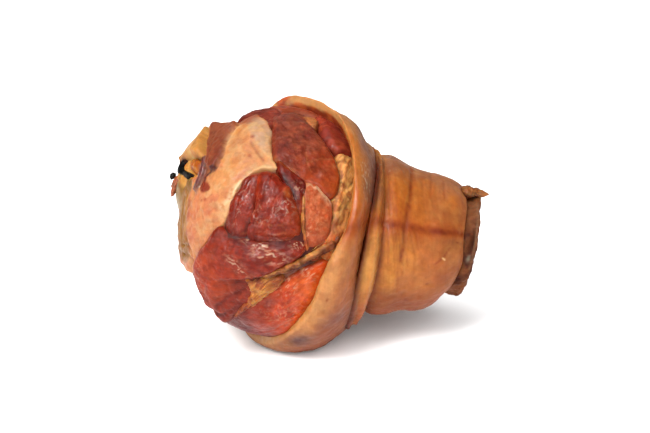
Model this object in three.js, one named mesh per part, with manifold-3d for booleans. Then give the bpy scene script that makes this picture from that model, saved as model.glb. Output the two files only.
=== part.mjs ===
// A smoked pork knuckle (ham hock), lying on its side: a cured shank with its rind on, cut across
// below the knee. The rind is a stubby sleeve with two deep folds that ends in a thick rolled collar.
// The cut end swells out of the collar as a mass of separate muscles and a pad of fat, and the
// joint head of the shank bone shows in it. The bone runs on through the meat to the sawn hock end.
//
// Millimetres, +Z up. X runs along the shank, towards the narrow hock end. Z = 0 is the flat spot
// that the collar rests on, and the origin is under the middle of the whole knuckle.

import * as THREE from "three";
import { mergeVertices } from "three/addons/utils/BufferGeometryUtils.js";
import Module from "manifold-3d";

const wasm = await Module();
wasm.setup();

// ---- driving dimensions -------------------------------------------------------------------------

const COLLAR_HEIGHT = 63; // height of the collar's centre, a little less than its lower radius
const RIND_THICKNESS = 5.5; // rind with its fat, as seen at the cut edge
const SAWN_END_X = 73; // middle of the sawn face, past the rind
const SAWN_RADIUS = 26.7;
const SAWN_SLANT = [-3, 5]; // how far the near side and the top of the saw cut are ahead in x
const BONE_CLEARANCE = 0.3; // gap between the bone and the meat that grips it
const CENTRE_SHIFT = [-0.5, 1.7, 0]; // moves the origin under the middle of the bounding box

// The mass of meat at the cut end is an ellipsoid, and each muscle is a pad that lies on it.
const MEAT_CENTRE = new THREE.Vector3(-28, 0, 63);
const MEAT_RADII = new THREE.Vector3(50, 55, 54);

// The face is mapped in millimetres of arc, p to the right and q up, about this direction.
const FACE_TURN = THREE.MathUtils.degToRad(45); // from -Y towards -X
const FACE_RISE = THREE.MathUtils.degToRad(15);
const FACE_ARC_RADIUS = 55;

// Angles round the shank start at the side that shows (-Y) and go up over the top.
const STEPS_ROUND = 54;

// ---- helpers ------------------------------------------------------------------------------------

// A closed geometry as a Manifold solid, with its faces turned outwards.
function solidOf(geometry) {
  const bare = geometry.clone();
  for (const name of ["normal", "uv"]) bare.deleteAttribute(name);
  const merged = mergeVertices(bare, 1e-4);
  const corners = merged.index.array;
  const outward = [];
  const inward = [];
  for (let i = 0; i < corners.length; i += 3) {
    const [a, b, c] = corners.subarray(i, i + 3);
    if (a === b || b === c || c === a) continue;
    outward.push(a, b, c);
    inward.push(a, c, b);
  }
  const [solid, reversed] = [outward, inward].map(
    (faces) =>
      new wasm.Manifold(
        new wasm.Mesh({
          numProp: 3,
          vertProperties: merged.attributes.position.array,
          triVerts: new Uint32Array(faces),
        }),
      ),
  );
  return solid.volume() > 0 ? solid : reversed;
}

// A Manifold solid as a three.js geometry.
function geometryOf(solid) {
  const mesh = solid.getMesh();
  const geometry = new THREE.BufferGeometry();
  geometry.setAttribute("position", new THREE.BufferAttribute(mesh.vertProperties, 3));
  geometry.setIndex(new THREE.BufferAttribute(mesh.triVerts, 1));
  geometry.computeVertexNormals();
  return geometry;
}

// Moves every vertex of a geometry to where place(vertex) says.
function reshape(geometry, place) {
  const position = geometry.getAttribute("position");
  const vertex = new THREE.Vector3();
  for (let i = 0; i < position.count; i++) {
    place(vertex.fromBufferAttribute(position, i));
    position.setXYZ(i, vertex.x, vertex.y, vertex.z);
  }
  return geometry;
}

// A smooth value round the shank, through values that are spread evenly round it.
function roundShank(values, angle) {
  const turns = THREE.MathUtils.euclideanModulo(angle / (2 * Math.PI), 1) * values.length;
  const at = Math.floor(turns);
  const [a, b, c, d] = [-1, 0, 1, 2].map((k) => values[(at + k + values.length) % values.length]);
  const t = turns - at;
  return b + 0.5 * t * (c - a + t * (2 * a - 5 * b + 4 * c - d + t * (3 * (b - c) + d - a)));
}

// A smooth value along the shank, through [x, value] pairs in rising x.
function alongShank(pairs, x) {
  const last = pairs.length - 1;
  const i = Math.min(Math.max(pairs.findIndex(([px]) => px > x) - 1, 0), last - 1);
  const from = x >= pairs[last][0] ? last - 1 : i;
  const [[x0, v0], [x1, v1]] = [pairs[from], pairs[from + 1]];
  return v0 + (v1 - v0) * THREE.MathUtils.smoothstep(x, x0, x1);
}

// ---- rind ---------------------------------------------------------------------------------------

// Places round the shank, in equal steps: near side, up over the top, far side, bottom.
const RIM_X = [-6, 6, 8, 1, -24, -38, -46, -50, -50, -44, -33, -17]; // the slanting cut edge
const RIM_RADIUS = [58, 58, 59.5, 63, 66, 61, 58, 58, 59, 60, 59.5, 59.5];
const COLLAR_CREST = [61.5, 61, 62.5, 65.5, 69.5, 65, 61.5, 62, 63, 65.5, 63.5, 62.5];
const DEEP_FOLD_X = [10.5, 16, 21, 23, 21, 16, 10, 6, 6, 10, 6, 7];
const DEEP_FOLD_RADIUS = [46, 46, 45.5, 45, 45.5, 46, 47, 48, 49, 49, 48, 47];
const FOLD_SPACING = [10.5, 7.5, 5, 4.5, 5, 7, 9, 9.5, 9, 8, 9, 10]; // to the second fold
const ROLL_HEIGHT = [4.5, 3.2, 1.6, 1, 1.4, 2.5, 4, 4.5, 4.5, 4.5, 4.8, 4.8];
const COLLAR_SLOPE = [0, 0.1, 0.55, 0.75, 0.55, 0.3, 0, 0, -0.3, -0.6, -0.3, 0]; // 0 rolled, 1 straight
const HOCK_RIND_X = [65, 66.5, 69, 70, 71, 71, 68, 64, 60, 58, 56.5, 60.5]; // end of the rind

const AXIS_HEIGHT = [
  [-20, COLLAR_HEIGHT],
  [8, 60],
  [30, 55.3],
  [50, 51.2],
];

// The sleeve's outline from the second fold to the hock end: [share of the length, radius].
const SLEEVE = [
  [0, 42],
  [0.1, 42.6],
  [0.33, 39.8],
  [0.57, 37.4],
  [0.76, 35],
  [0.9, 32],
  [0.98, 29],
  [1, 27.6],
];

// The collar's outline from the first fold to the rim: [share of the width, share of the drop].
const COLLAR = [
  [0.05, 0.8],
  [0.18, 0.52],
  [0.36, 0.22],
  [0.56, 0.05],
  [0.74, 0],
  [0.88, 0.03],
];

// One line of the rind, from the middle of the hock end over the outside to inside the collar.
function rindLine(angle) {
  const rim = roundShank(RIM_X, angle);
  const rimRadius = roundShank(RIM_RADIUS, angle);
  const crest = roundShank(COLLAR_CREST, angle);
  const deep = roundShank(DEEP_FOLD_X, angle);
  const deepRadius = roundShank(DEEP_FOLD_RADIUS, angle);
  const spacing = roundShank(FOLD_SPACING, angle);
  const roll = roundShank(ROLL_HEIGHT, angle);
  const shallow = deep + spacing;
  const end = roundShank(HOCK_RIND_X, angle);
  const between = (deepRadius + SLEEVE[0][1]) / 2;
  const line = [
    [end - 3, 0],
    [end - 2, 20],
  ];
  for (const [share, radius] of [...SLEEVE].reverse()) {
    line.push([shallow + share * (end - shallow), radius]);
  }
  line.push([shallow - 0.12 * spacing, SLEEVE[0][1] + 0.6 * roll]);
  line.push([shallow - 0.36 * spacing, between + roll], [shallow - 0.64 * spacing, between + roll]);
  line.push([deep + 0.1 * spacing, deepRadius + 0.6 * roll], [deep, deepRadius]);
  const slope = roundShank(COLLAR_SLOPE, angle);
  for (const [share, rolled] of COLLAR) {
    const drop = THREE.MathUtils.lerp(rolled, 1 - share, slope);
    line.push([deep - share * (deep - rim), crest - drop * (crest - deepRadius)]);
  }
  line.push([rim, rimRadius + 0.3 * RIND_THICKNESS], [rim - 0.3, rimRadius - 0.4 * RIND_THICKNESS]);
  line.push([rim + 2, rimRadius - 1.3 * RIND_THICKNESS], [rim + 1, rimRadius - 2.6 * RIND_THICKNESS]);
  line.push([rim - 1, 20], [rim - 1, 0]);
  return line;
}

function rind() {
  const lines = rindLine(0).length;
  const unit = Array.from({ length: lines }, (_, i) => {
    return new THREE.Vector2(Math.sin((Math.PI * i) / (lines - 1)), i);
  });
  unit[0].x = 0;
  unit[lines - 1].x = 0;
  // The lathe only supplies the faces: y says which point of the line, and x and z the angle.
  const lathe = new THREE.LatheGeometry(unit, STEPS_ROUND);
  const middle = (rindLine(0)[lines - 1][0] + rindLine(Math.PI)[lines - 1][0]) / 2;
  return solidOf(
    reshape(lathe, (v) => {
      const row = Math.round(v.y);
      const onAxis = row === 0 || row === lines - 1;
      const angle = onAxis ? 0 : Math.atan2(v.z, v.x);
      let [x, radius] = rindLine(angle)[row];
      if (row === lines - 1) x = middle;
      const height = alongShank(AXIS_HEIGHT, x);
      v.set(x, -radius * Math.cos(angle), height + radius * Math.sin(angle));
    }),
  );
}

// ---- cut face -----------------------------------------------------------------------------------

const FACE_AXIS = new THREE.Vector3(
  -Math.sin(FACE_TURN) * Math.cos(FACE_RISE),
  -Math.cos(FACE_TURN) * Math.cos(FACE_RISE),
  Math.sin(FACE_RISE),
);
const FACE_RIGHT = new THREE.Vector3(Math.cos(FACE_TURN), -Math.sin(FACE_TURN), 0);
const FACE_UP = new THREE.Vector3().crossVectors(FACE_AXIS, FACE_RIGHT);

// The point at p, q on the face map, that stands height above the ellipsoid of meat.
function onFace(p, q, height) {
  const arc = Math.hypot(p, q) / FACE_ARC_RADIUS;
  const turn = Math.atan2(q, p);
  const direction = FACE_AXIS.clone().multiplyScalar(Math.cos(arc));
  direction.addScaledVector(FACE_RIGHT, Math.sin(arc) * Math.cos(turn));
  direction.addScaledVector(FACE_UP, Math.sin(arc) * Math.sin(turn));
  const reach = 1 / direction.clone().divide(MEAT_RADII).length();
  return direction.multiplyScalar(reach + height).add(MEAT_CENTRE);
}

// A muscle or pad of fat: a unit ball pressed into its outline on the face, with a rounded edge.
function lobe({ centre, outline, height, square = 4, root = 8, around = 24, rings = 11 }) {
  const curve = new THREE.CatmullRomCurve3(
    outline.map(([p, q]) => new THREE.Vector3(p, q, 0)),
    true,
  );
  const ball = new THREE.SphereGeometry(1, around, rings);
  const edge = new THREE.Vector3();
  return solidOf(
    reshape(ball, (v) => {
      const out = Math.min(Math.hypot(v.x, v.z), 1);
      const turns = THREE.MathUtils.euclideanModulo(Math.atan2(v.z, v.x) / (2 * Math.PI), 1);
      curve.getPoint(turns, edge);
      const p = centre[0] + (edge.x - centre[0]) * out;
      const q = centre[1] + (edge.y - centre[1]) * out;
      const top = v.y >= 0;
      const round = (1 - out ** (top ? square : 2)) ** (1 / (top ? square : 2));
      v.copy(onFace(p, q, (top ? height : -root) * round));
    }),
  );
}

const FACE_LOBES = [
  {
    // the smooth pad of fat over the joint
    centre: [-8, 22],
    outline: [[5, 63], [13, 56], [23, 44], [27, 37], [19, 29], [15, 12], [8, -2], [-6, -25], [-16, -28],
              [-27, -25], [-34, -10], [-38, 10], [-30, 34], [-30, 60], [-14, 66]],
    height: 4.8,
    square: 3,
  },
  {
    // fat that rounds off the joint head
    centre: [-42, 44],
    outline: [[-24, 52], [-34, 66], [-50, 66], [-62, 50], [-58, 34], [-44, 28], [-32, 25], [-24, 28]],
    height: 8.5,
    square: 2.4,
  },
  {
    // thin brown muscle across the top of the fat
    centre: [-22, 46],
    outline: [[-21, 60], [-31, 60], [-38, 50], [-34, 42], [-21, 33], [-8, 27], [-9, 43], [-14, 55]],
    height: 7,
  },
  {
    // end of the muscle behind the fat
    centre: [-8, 70],
    outline: [[-18, 63], [-24, 70], [-20, 76], [-12, 80], [-2, 78], [8, 70], [7, 62], [-5, 63]],
    height: 6.5,
  },
  {
    // large upper muscle
    centre: [30, 56],
    outline: [[4, 64], [12, 57], [23, 41], [33, 37], [41, 34], [54, 31], [61, 31], [60, 43], [52, 58],
              [45, 63], [34, 71], [20, 79], [12, 86], [0, 90], [-4, 82], [-2, 72]],
    height: 6.2,
    square: 6,
  },
  {
    // muscle under the top of the collar
    centre: [36, 86],
    outline: [[12, 91], [18, 102], [40, 104], [58, 88], [60, 74], [52, 65], [44, 66], [33, 74], [24, 82]],
    height: 6.5,
    square: 4,
  },
  {
    // narrow left part of the round muscle in the middle
    centre: [20, 15],
    outline: [[17, 28], [21, 31], [25, 30], [25, 22], [27, 12], [25, 4], [22, 1], [17, 1], [14, 16]],
    height: 9.3,
    square: 4,
  },
  {
    // the round muscle in the middle
    centre: [34, 17],
    outline: [[22, 31], [26, 34], [32, 32], [38, 29], [45, 19], [47, 13], [47, 8], [43, 3], [36, 2],
              [29, 0], [25, 2], [24, 10]],
    height: 10.5,
    square: 4,
  },
  {
    // flat salmon-coloured cut
    centre: [54, 17],
    outline: [[44, 33], [49, 35], [55, 32], [60, 29], [62, 22], [63, 12], [60, 2], [52, 1], [48, 9],
              [46, 20]],
    height: 7,
    square: 6,
  },
  {
    // broad muscle below the middle, with a hanging lower edge
    centre: [36, -8],
    outline: [[16, 1], [32, 1], [38, 4], [47, 7], [54, 4], [66, 2], [65, -3], [58, -7], [50, -12],
              [42, -17], [35, -20], [18, -21], [13, -17], [10, -9]],
    height: 10,
    square: 5,
  },
  {
    // lower left muscle
    centre: [14, -24],
    outline: [[15, 3], [9, 1], [6, -6], [1, -12], [-4, -19], [-6, -27], [-4, -36], [-2, -43], [4, -49],
              [9, -51], [17, -44], [24, -39], [31, -31], [36, -20], [26, -10]],
    height: 7.2,
    square: 3.6,
  },
  {
    // muscle along the bottom, inside the collar
    centre: [40, -44],
    outline: [[69, -1], [58, -6], [44, -15], [36, -25], [27, -34], [4, -50], [-3, -57], [0, -65],
              [14, -73], [24, -81], [38, -70], [51, -53], [66, -25], [72, -6]],
    height: 4.8,
    square: 3,
  },
];

function meatMass() {
  const ball = new THREE.SphereGeometry(1, 36, 20);
  return solidOf(reshape(ball, (v) => v.multiply(MEAT_RADII).add(MEAT_CENTRE)));
}

// ---- hock end -----------------------------------------------------------------------------------

// How far the slanting saw cut is ahead of its middle, at a place across the shank.
function sawSlant(near, up) {
  return (near * SAWN_SLANT[0] + up * SAWN_SLANT[1]) / SAWN_RADIUS;
}

// Dried meat and sinew that stand out of the rind, down to the saw cut.
function hockStump() {
  const buried = SAWN_END_X - 22; // under the rind
  const lines = [
    [buried, 0],
    [buried, SAWN_RADIUS - 3],
    [SAWN_END_X - 9, SAWN_RADIUS - 0.4],
    [SAWN_END_X - 4, SAWN_RADIUS - 1.2],
    [SAWN_END_X - 1.2, SAWN_RADIUS],
    [SAWN_END_X, SAWN_RADIUS - 1.4],
    [SAWN_END_X, 0],
  ];
  const lathe = new THREE.LatheGeometry(
    lines.map(([x, radius]) => new THREE.Vector2(radius, x)),
    36,
  );
  return solidOf(
    reshape(lathe, (v) => {
      const angle = Math.atan2(v.z, v.x);
      const lumps = 1 + 0.03 * Math.cos(3 * angle + 0.6) + 0.02 * Math.cos(7 * angle + 2);
      const near = v.x * lumps;
      const up = v.z * lumps;
      v.set(v.y + sawSlant(near, up), -near, alongShank(AXIS_HEIGHT, v.y) + up);
    }),
  );
}

// A torn shred of sinew at the top of the sawn end.
function shred() {
  const rootHeight = alongShank(AXIS_HEIGHT, SAWN_END_X) + SAWN_RADIUS - 1;
  const root = new THREE.Vector3(SAWN_END_X - 5, -3, rootHeight);
  const reach = 14;
  const halfWidth = 5.5;
  const halfThickness = 2.8;
  const droop = 2.6;
  const tipShare = 0.28; // of the width and thickness at the root
  const ball = new THREE.SphereGeometry(1, 12, 10);
  return solidOf(
    reshape(ball, (v) => {
      const along = (v.x + 1) / 2;
      const thin = THREE.MathUtils.lerp(1, tipShare, along);
      v.set(along * reach, v.y * halfWidth * thin, v.z * halfThickness * thin - droop * along ** 2);
      v.add(root);
    }),
  );
}

// ---- bone ---------------------------------------------------------------------------------------

// The joint head at the cut end and the shaft to the saw cut. Grown makes the cutter for its bed.
function bone(grown = 0) {
  const headCentre = -53;
  const headLength = 28 + grown;
  const headRadius = 27 + grown;
  const headHeight = 80.5;
  const shaftRadius = 10.5 + grown;
  const endRadius = shaftRadius + 1.5;
  const profile = [new THREE.Vector2(0, headCentre - headLength)];
  for (let i = 1; i <= 10; i++) {
    const turn = (Math.PI * i) / 13;
    profile.push(new THREE.Vector2(headRadius * Math.sin(turn), headCentre - headLength * Math.cos(turn)));
  }
  profile.push(new THREE.Vector2(shaftRadius + 3, headCentre + headLength + 6));
  profile.push(new THREE.Vector2(shaftRadius, headCentre + headLength + 22));
  profile.push(new THREE.Vector2(endRadius, SAWN_END_X - 6));
  profile.push(new THREE.Vector2(endRadius, SAWN_END_X + grown));
  profile.push(new THREE.Vector2(0, SAWN_END_X + grown));
  return solidOf(
    reshape(new THREE.LatheGeometry(profile, 24), (v) => {
      const along = THREE.MathUtils.smoothstep(v.y, headCentre, SAWN_END_X);
      const height = THREE.MathUtils.lerp(headHeight, alongShank(AXIS_HEIGHT, SAWN_END_X), along);
      const slant = v.y > SAWN_END_X - 1 ? sawSlant(v.x, v.z) : 0;
      v.set(v.y + slant, 3 * (1 - along) - v.x, height + v.z);
    }),
  );
}

// ---- knuckle ------------------------------------------------------------------------------------

function standOnTable(solid) {
  return solid.trimByPlane([0, 0, 1], 0).translate(CENTRE_SHIFT);
}

const flesh = [meatMass(), ...FACE_LOBES.map(lobe), hockStump(), shred()]
  .reduce((whole, piece) => whole.add(piece), rind())
  .subtract(bone(BONE_CLEARANCE));

const knuckle = new THREE.Group();

const meat = new THREE.Mesh(
  geometryOf(standOnTable(flesh)),
  new THREE.MeshStandardMaterial({ color: 0xb8693a, roughness: 0.5, metalness: 0 }),
);
meat.name = "meat_and_rind";
knuckle.add(meat);

const shankBone = new THREE.Mesh(
  geometryOf(standOnTable(bone())),
  new THREE.MeshStandardMaterial({ color: 0xd9c28a, roughness: 0.45, metalness: 0 }),
);
shankBone.name = "shank_bone";
knuckle.add(shankBone);

export default knuckle;
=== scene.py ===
"""A smoked pork knuckle on its side.

The shapes are worked out with numpy, in millimetres and in the shank's own frame: X runs along the
shank to the sawn hock end, Z is up, and the side that shows faces -Y. SHIFT moves that frame to the
CAD's. Angles round the shank start at -Y and go up over the top. The cut face has a map of its own:
p to the right and q up, both as millimetres of arc on the ellipsoid of meat.
"""

import math

import bpy
import numpy as np
from mathutils import Matrix, Vector


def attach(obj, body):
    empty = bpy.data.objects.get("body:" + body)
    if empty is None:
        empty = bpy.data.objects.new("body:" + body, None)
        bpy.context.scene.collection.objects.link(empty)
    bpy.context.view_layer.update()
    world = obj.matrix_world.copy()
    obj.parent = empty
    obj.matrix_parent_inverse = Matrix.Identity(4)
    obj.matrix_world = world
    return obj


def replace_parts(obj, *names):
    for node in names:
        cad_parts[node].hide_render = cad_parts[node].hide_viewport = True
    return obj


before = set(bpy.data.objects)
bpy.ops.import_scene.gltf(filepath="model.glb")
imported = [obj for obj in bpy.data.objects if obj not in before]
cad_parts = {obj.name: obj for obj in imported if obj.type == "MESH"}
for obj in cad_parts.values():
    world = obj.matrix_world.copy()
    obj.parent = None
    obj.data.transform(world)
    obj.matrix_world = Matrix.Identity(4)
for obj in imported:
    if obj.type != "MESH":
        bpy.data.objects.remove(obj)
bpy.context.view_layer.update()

# ---- driving dimensions, as in the CAD ----------------------------------------------------------

MM = 0.001
SHIFT = np.array([-0.5, 1.7, 0.0])
COLLAR_HEIGHT = 63.0
RIND_THICKNESS = 5.5
SAWN_END_X = 73.0
SAWN_RADIUS = 26.7
SAWN_SLANT = (-3.0, 5.0)
MEAT_CENTRE = np.array([-28.0, 0.0, 63.0])
MEAT_RADII = np.array([50.0, 55.0, 54.0])
FACE_TURN = math.radians(45)
FACE_RISE = math.radians(15)
FACE_ARC_RADIUS = 55.0

RIM_X = [-6, 6, 8, 1, -24, -38, -46, -50, -50, -44, -33, -17]
RIM_RADIUS = [58, 58, 59.5, 63, 66, 61, 58, 58, 59, 60, 59.5, 59.5]
COLLAR_CREST = [61.5, 61, 62.5, 65.5, 69.5, 65, 61.5, 62, 63, 65.5, 63.5, 62.5]
COLLAR_SLOPE = [0, 0.1, 0.55, 0.75, 0.55, 0.3, 0, 0, -0.3, -0.6, -0.3, 0]
DEEP_FOLD_X = [10.5, 16, 21, 23, 21, 16, 10, 6, 6, 10, 6, 7]
DEEP_FOLD_RADIUS = [46, 46, 45.5, 45, 45.5, 46, 47, 48, 49, 49, 48, 47]
FOLD_SPACING = [10.5, 7.5, 5, 4.5, 5, 7, 9, 9.5, 9, 8, 9, 10]
ROLL_HEIGHT = [4.5, 3.2, 1.6, 1, 1.4, 2.5, 4, 4.5, 4.5, 4.5, 4.8, 4.8]
HOCK_RIND_X = [65, 66.5, 69, 70, 71, 71, 68, 64, 60, 58, 56.5, 60.5]
AXIS_HEIGHT = [(-20, COLLAR_HEIGHT), (8, 60), (30, 55.3), (50, 51.2)]
SLEEVE = [(0, 42), (0.1, 42.6), (0.33, 39.8), (0.57, 37.4), (0.76, 35), (0.9, 32), (0.98, 29), (1, 27.6)]
COLLAR = [(0.05, 0.8), (0.18, 0.52), (0.36, 0.22), (0.56, 0.05), (0.74, 0), (0.88, 0.03)]


# ---- numbers ------------------------------------------------------------------------------------


def colour(code):
    """A linear colour from an sRGB code of six hexadecimal digits."""
    c = np.array([int(code[i : i + 2], 16) for i in (0, 2, 4)]) / 255
    return np.where(c <= 0.04045, c / 12.92, ((c + 0.055) / 1.055) ** 2.4)


# How a surface's own colour compares with how it looks under these lights: darker and stronger.
ALBEDO = np.array([0.45, 0.45, 0.345])
DEPTH = 1.22
MEAT_TONE = np.array([1.0, 0.88, 0.8])  # takes the milky cast of the wet film off the meat
PAINTED_WET_HIGHLIGHT = np.array([0.76, 0.82, 1.0])  # colour of the painted highlights on wet meat, before the tone of its pad


def smooth(x, low, high):
    """0 up to low and 1 from high, or the other way round where low is the higher one."""
    t = np.clip((x - low) / (high - low), 0, 1)
    return t * t * (3 - 2 * t)


def band(x, rise, fall):
    """1 between two soft edges, that are each given as (low, high)."""
    return smooth(x, *rise) * (1 - smooth(x, *fall))


def hump(offset, width):
    """1 where the offset is nothing, falling off over the width to either side."""
    return np.exp(-((offset / width) ** 2))


def lattice(i, j, k, seed):
    """A repeatable random number from -1 to 1 at each lattice point."""
    h = (i * 374761393 + j * 668265263 + k * 1442695041 + seed * 1274126177) & 0xFFFFFFFF
    h = ((h ^ (h >> 13)) * 1274126177) & 0xFFFFFFFF
    h = ((h ^ (h >> 15)) * 668265263) & 0xFFFFFFFF
    return ((h ^ (h >> 16)) & 0xFFFF) / 32767.5 - 1


TURN = np.array(Matrix.Rotation(0.7, 3, Vector((0.5, 0.7, 0.4)).normalized()))


def noise(points, size, seed=0):
    """Smooth noise from -1 to 1, with lumps of about the given size."""
    q = points @ TURN.T / size + seed * 7.31
    cell = np.floor(q).astype(np.int64)
    f = q - cell
    f = f * f * f * (f * (f * 6 - 15) + 10)
    total = 0
    for a in (0, 1):
        for b in (0, 1):
            for c in (0, 1):
                weight = 1
                for step, axis in ((a, 0), (b, 1), (c, 2)):
                    weight = weight * (f[..., axis] if step else 1 - f[..., axis])
                total = total + weight * lattice(cell[..., 0] + a, cell[..., 1] + b, cell[..., 2] + c, seed)
    return total


def layered(points, size, seed=0, layers=3):
    """Noise in layers, each half as large and half as strong as the one before."""
    return sum(noise(points, size / 2**k, seed + k) * 0.5**k for k in range(layers))


def patchy(points, size, seed, low, high, layers=3):
    """Patches from 0 to 1, where layered noise rises from low to high; high may be the lower one."""
    return smooth(layered(points, size, seed, layers), low, high)


def drift(points, size, seeds, layers=3):
    """Layered noise in two directions, one from each seed."""
    return np.stack([layered(points, size, seed, layers) for seed in seeds], -1)


def xyz(a, b, c=0.0):
    return np.stack(np.broadcast_arrays(a, b, c), -1)


def full_turn(count):
    """Angles that are spread evenly over a full turn."""
    return np.arange(count) / count * 2 * np.pi


def along_across(pq, angle):
    """The parts of pq along a direction at an angle in radians, and across it."""
    c, s = math.cos(angle), math.sin(angle)
    return pq[..., 0] * c + pq[..., 1] * s, pq[..., 1] * c - pq[..., 0] * s


def round_shank(values, angle):
    """A smooth value round the shank, through values that are spread evenly round it."""
    n = len(values)
    turns = np.mod(angle / (2 * np.pi), 1) * n
    at = np.floor(turns).astype(int)
    v = np.array(values, float)
    a, b, c, d = (v[(at + k) % n] for k in (-1, 0, 1, 2))
    t = turns - at
    return b + 0.5 * t * (c - a + t * (2 * a - 5 * b + 4 * c - d + t * (3 * (b - c) + d - a)))


def along_shank(pairs, x):
    """A smooth value along the shank, through (x, value) pairs in rising x."""
    x = np.asarray(x, float)
    value = np.full(x.shape, float(pairs[0][1]))
    for (x0, v0), (x1, v1) in zip(pairs, pairs[1:]):
        value = value + (v1 - v0) * smooth(x, x0, x1)
    return value


def catmull(points, counts):
    """Centripetal Catmull-Rom curves through points[k, ...], with counts[k] steps after point k."""
    ends = np.concatenate([2 * points[:1] - points[1:2], points, 2 * points[-1:] - points[-2:-1]])
    rows = []
    for k, count in enumerate(counts):
        a, b, c, d = ends[k : k + 4]
        t0 = 0
        t1, t2, t3 = np.cumsum([np.sqrt(np.linalg.norm(v - u, axis=-1, keepdims=True)) + 1e-6
                                for u, v in ((a, b), (b, c), (c, d))], axis=0)
        for step in range(count):
            t = t1 + (t2 - t1) * step / count
            a1 = (t1 - t) / (t1 - t0) * a + (t - t0) / (t1 - t0) * b
            a2 = (t2 - t) / (t2 - t1) * b + (t - t1) / (t2 - t1) * c
            a3 = (t3 - t) / (t3 - t2) * c + (t - t2) / (t3 - t2) * d
            b1 = (t2 - t) / (t2 - t0) * a1 + (t - t0) / (t2 - t0) * a2
            b2 = (t3 - t) / (t3 - t1) * a2 + (t - t1) / (t3 - t1) * a3
            rows.append((t2 - t) / (t2 - t1) * b1 + (t - t1) / (t2 - t1) * b2)
    rows.append(points[-1])
    return np.stack(rows)


def closed_curve(points, count):
    """A smooth closed curve through points, as count points that are evenly spaced."""
    pts = np.array(points, float)
    ring = np.concatenate([pts[-2:], pts, pts[:3]])
    fine = catmull(ring, [24] * (len(ring) - 1))[48 : 48 + 24 * len(pts) + 1]
    run = np.concatenate([[0], np.cumsum(np.linalg.norm(np.diff(fine, axis=0), axis=1))])
    at = np.arange(count) / count * run[-1]
    return np.stack([np.interp(at, run, fine[:, k]) for k in range(pts.shape[1])], 1)


# ---- masks on the face map ----------------------------------------------------------------------


def away(pq, line):
    """Distance from each point of pq to a line of points."""
    line = np.array(line, float)
    best = np.full(pq.shape[:-1], 1e9)
    for a, b in zip(line, line[1:]):
        d = b - a
        t = np.clip(((pq - a) @ d) / max(d @ d, 1e-9), 0, 1)
        best = np.minimum(best, np.linalg.norm(pq - (a + t[..., None] * d), axis=-1))
    return best


def stroke(pq, line, width):
    """1 on a line, falling to nothing at about twice the width from it."""
    return hump(away(pq, line), width)


def inside(pq, outline, soft):
    """1 inside a closed outline, 0 outside, with a soft edge."""
    ring = closed_curve(outline, 72)
    ring = np.concatenate([ring, ring[:1]])
    within = np.zeros(pq.shape[:-1], bool)
    x, y = pq[..., 0], pq[..., 1]
    for (x0, y0), (x1, y1) in zip(ring, ring[1:]):
        crosses = (y0 > y) != (y1 > y)
        at = x0 + (y - y0) * (x1 - x0) / (y1 - y0 if y1 != y0 else 1e-9)
        within ^= crosses & (x < at)
    distance = away(pq, ring) * np.where(within, 1, -1)
    return smooth(distance, -soft, soft)


def spot(pq, centre, size, turn=0):
    """1 at a centre, falling off over an oval of the given half sizes."""
    u, v = along_across(pq - np.array(centre, float), math.radians(turn))
    sx, sy = size if isinstance(size, tuple) else (size, size)
    return np.exp(-((u / sx) ** 2) - (v / sy) ** 2)


def shape(pq, place, size, turn=0):
    """A stroke along a list of points, or a spot at a single one."""
    return stroke(pq, place, size) if isinstance(place, list) else spot(pq, place, size, turn)


def raised(pq, rows):
    """The sum of shapes that are given as (height, place, size) or (height, place, size, turn)."""
    return sum(height * shape(pq, *where) for height, *where in rows)


def mix(base, other, amount):
    """One colour laid over another; a colour may be given as its code."""
    base, other = (colour(c) if isinstance(c, str) else c for c in (base, other))
    amount = np.clip(np.asarray(amount), 0, 1)[..., None]
    return base * (1 - amount) + other * amount


def coats(tint, rows, pq=None):
    """A tint under coats: (colour, amount) all over, (colour, amount, place, size, turn) in one place."""
    for coat, amount, *where in rows:
        tint = mix(tint, coat, amount * shape(pq, *where) if where else amount)
    return tint


def two_tone(points, first, second, seed, size=9.0):
    """Two colours in soft patches."""
    return mix(first, second, patchy(points, size, seed, -0.35, 0.5))


# ---- meshes -------------------------------------------------------------------------------------


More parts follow.
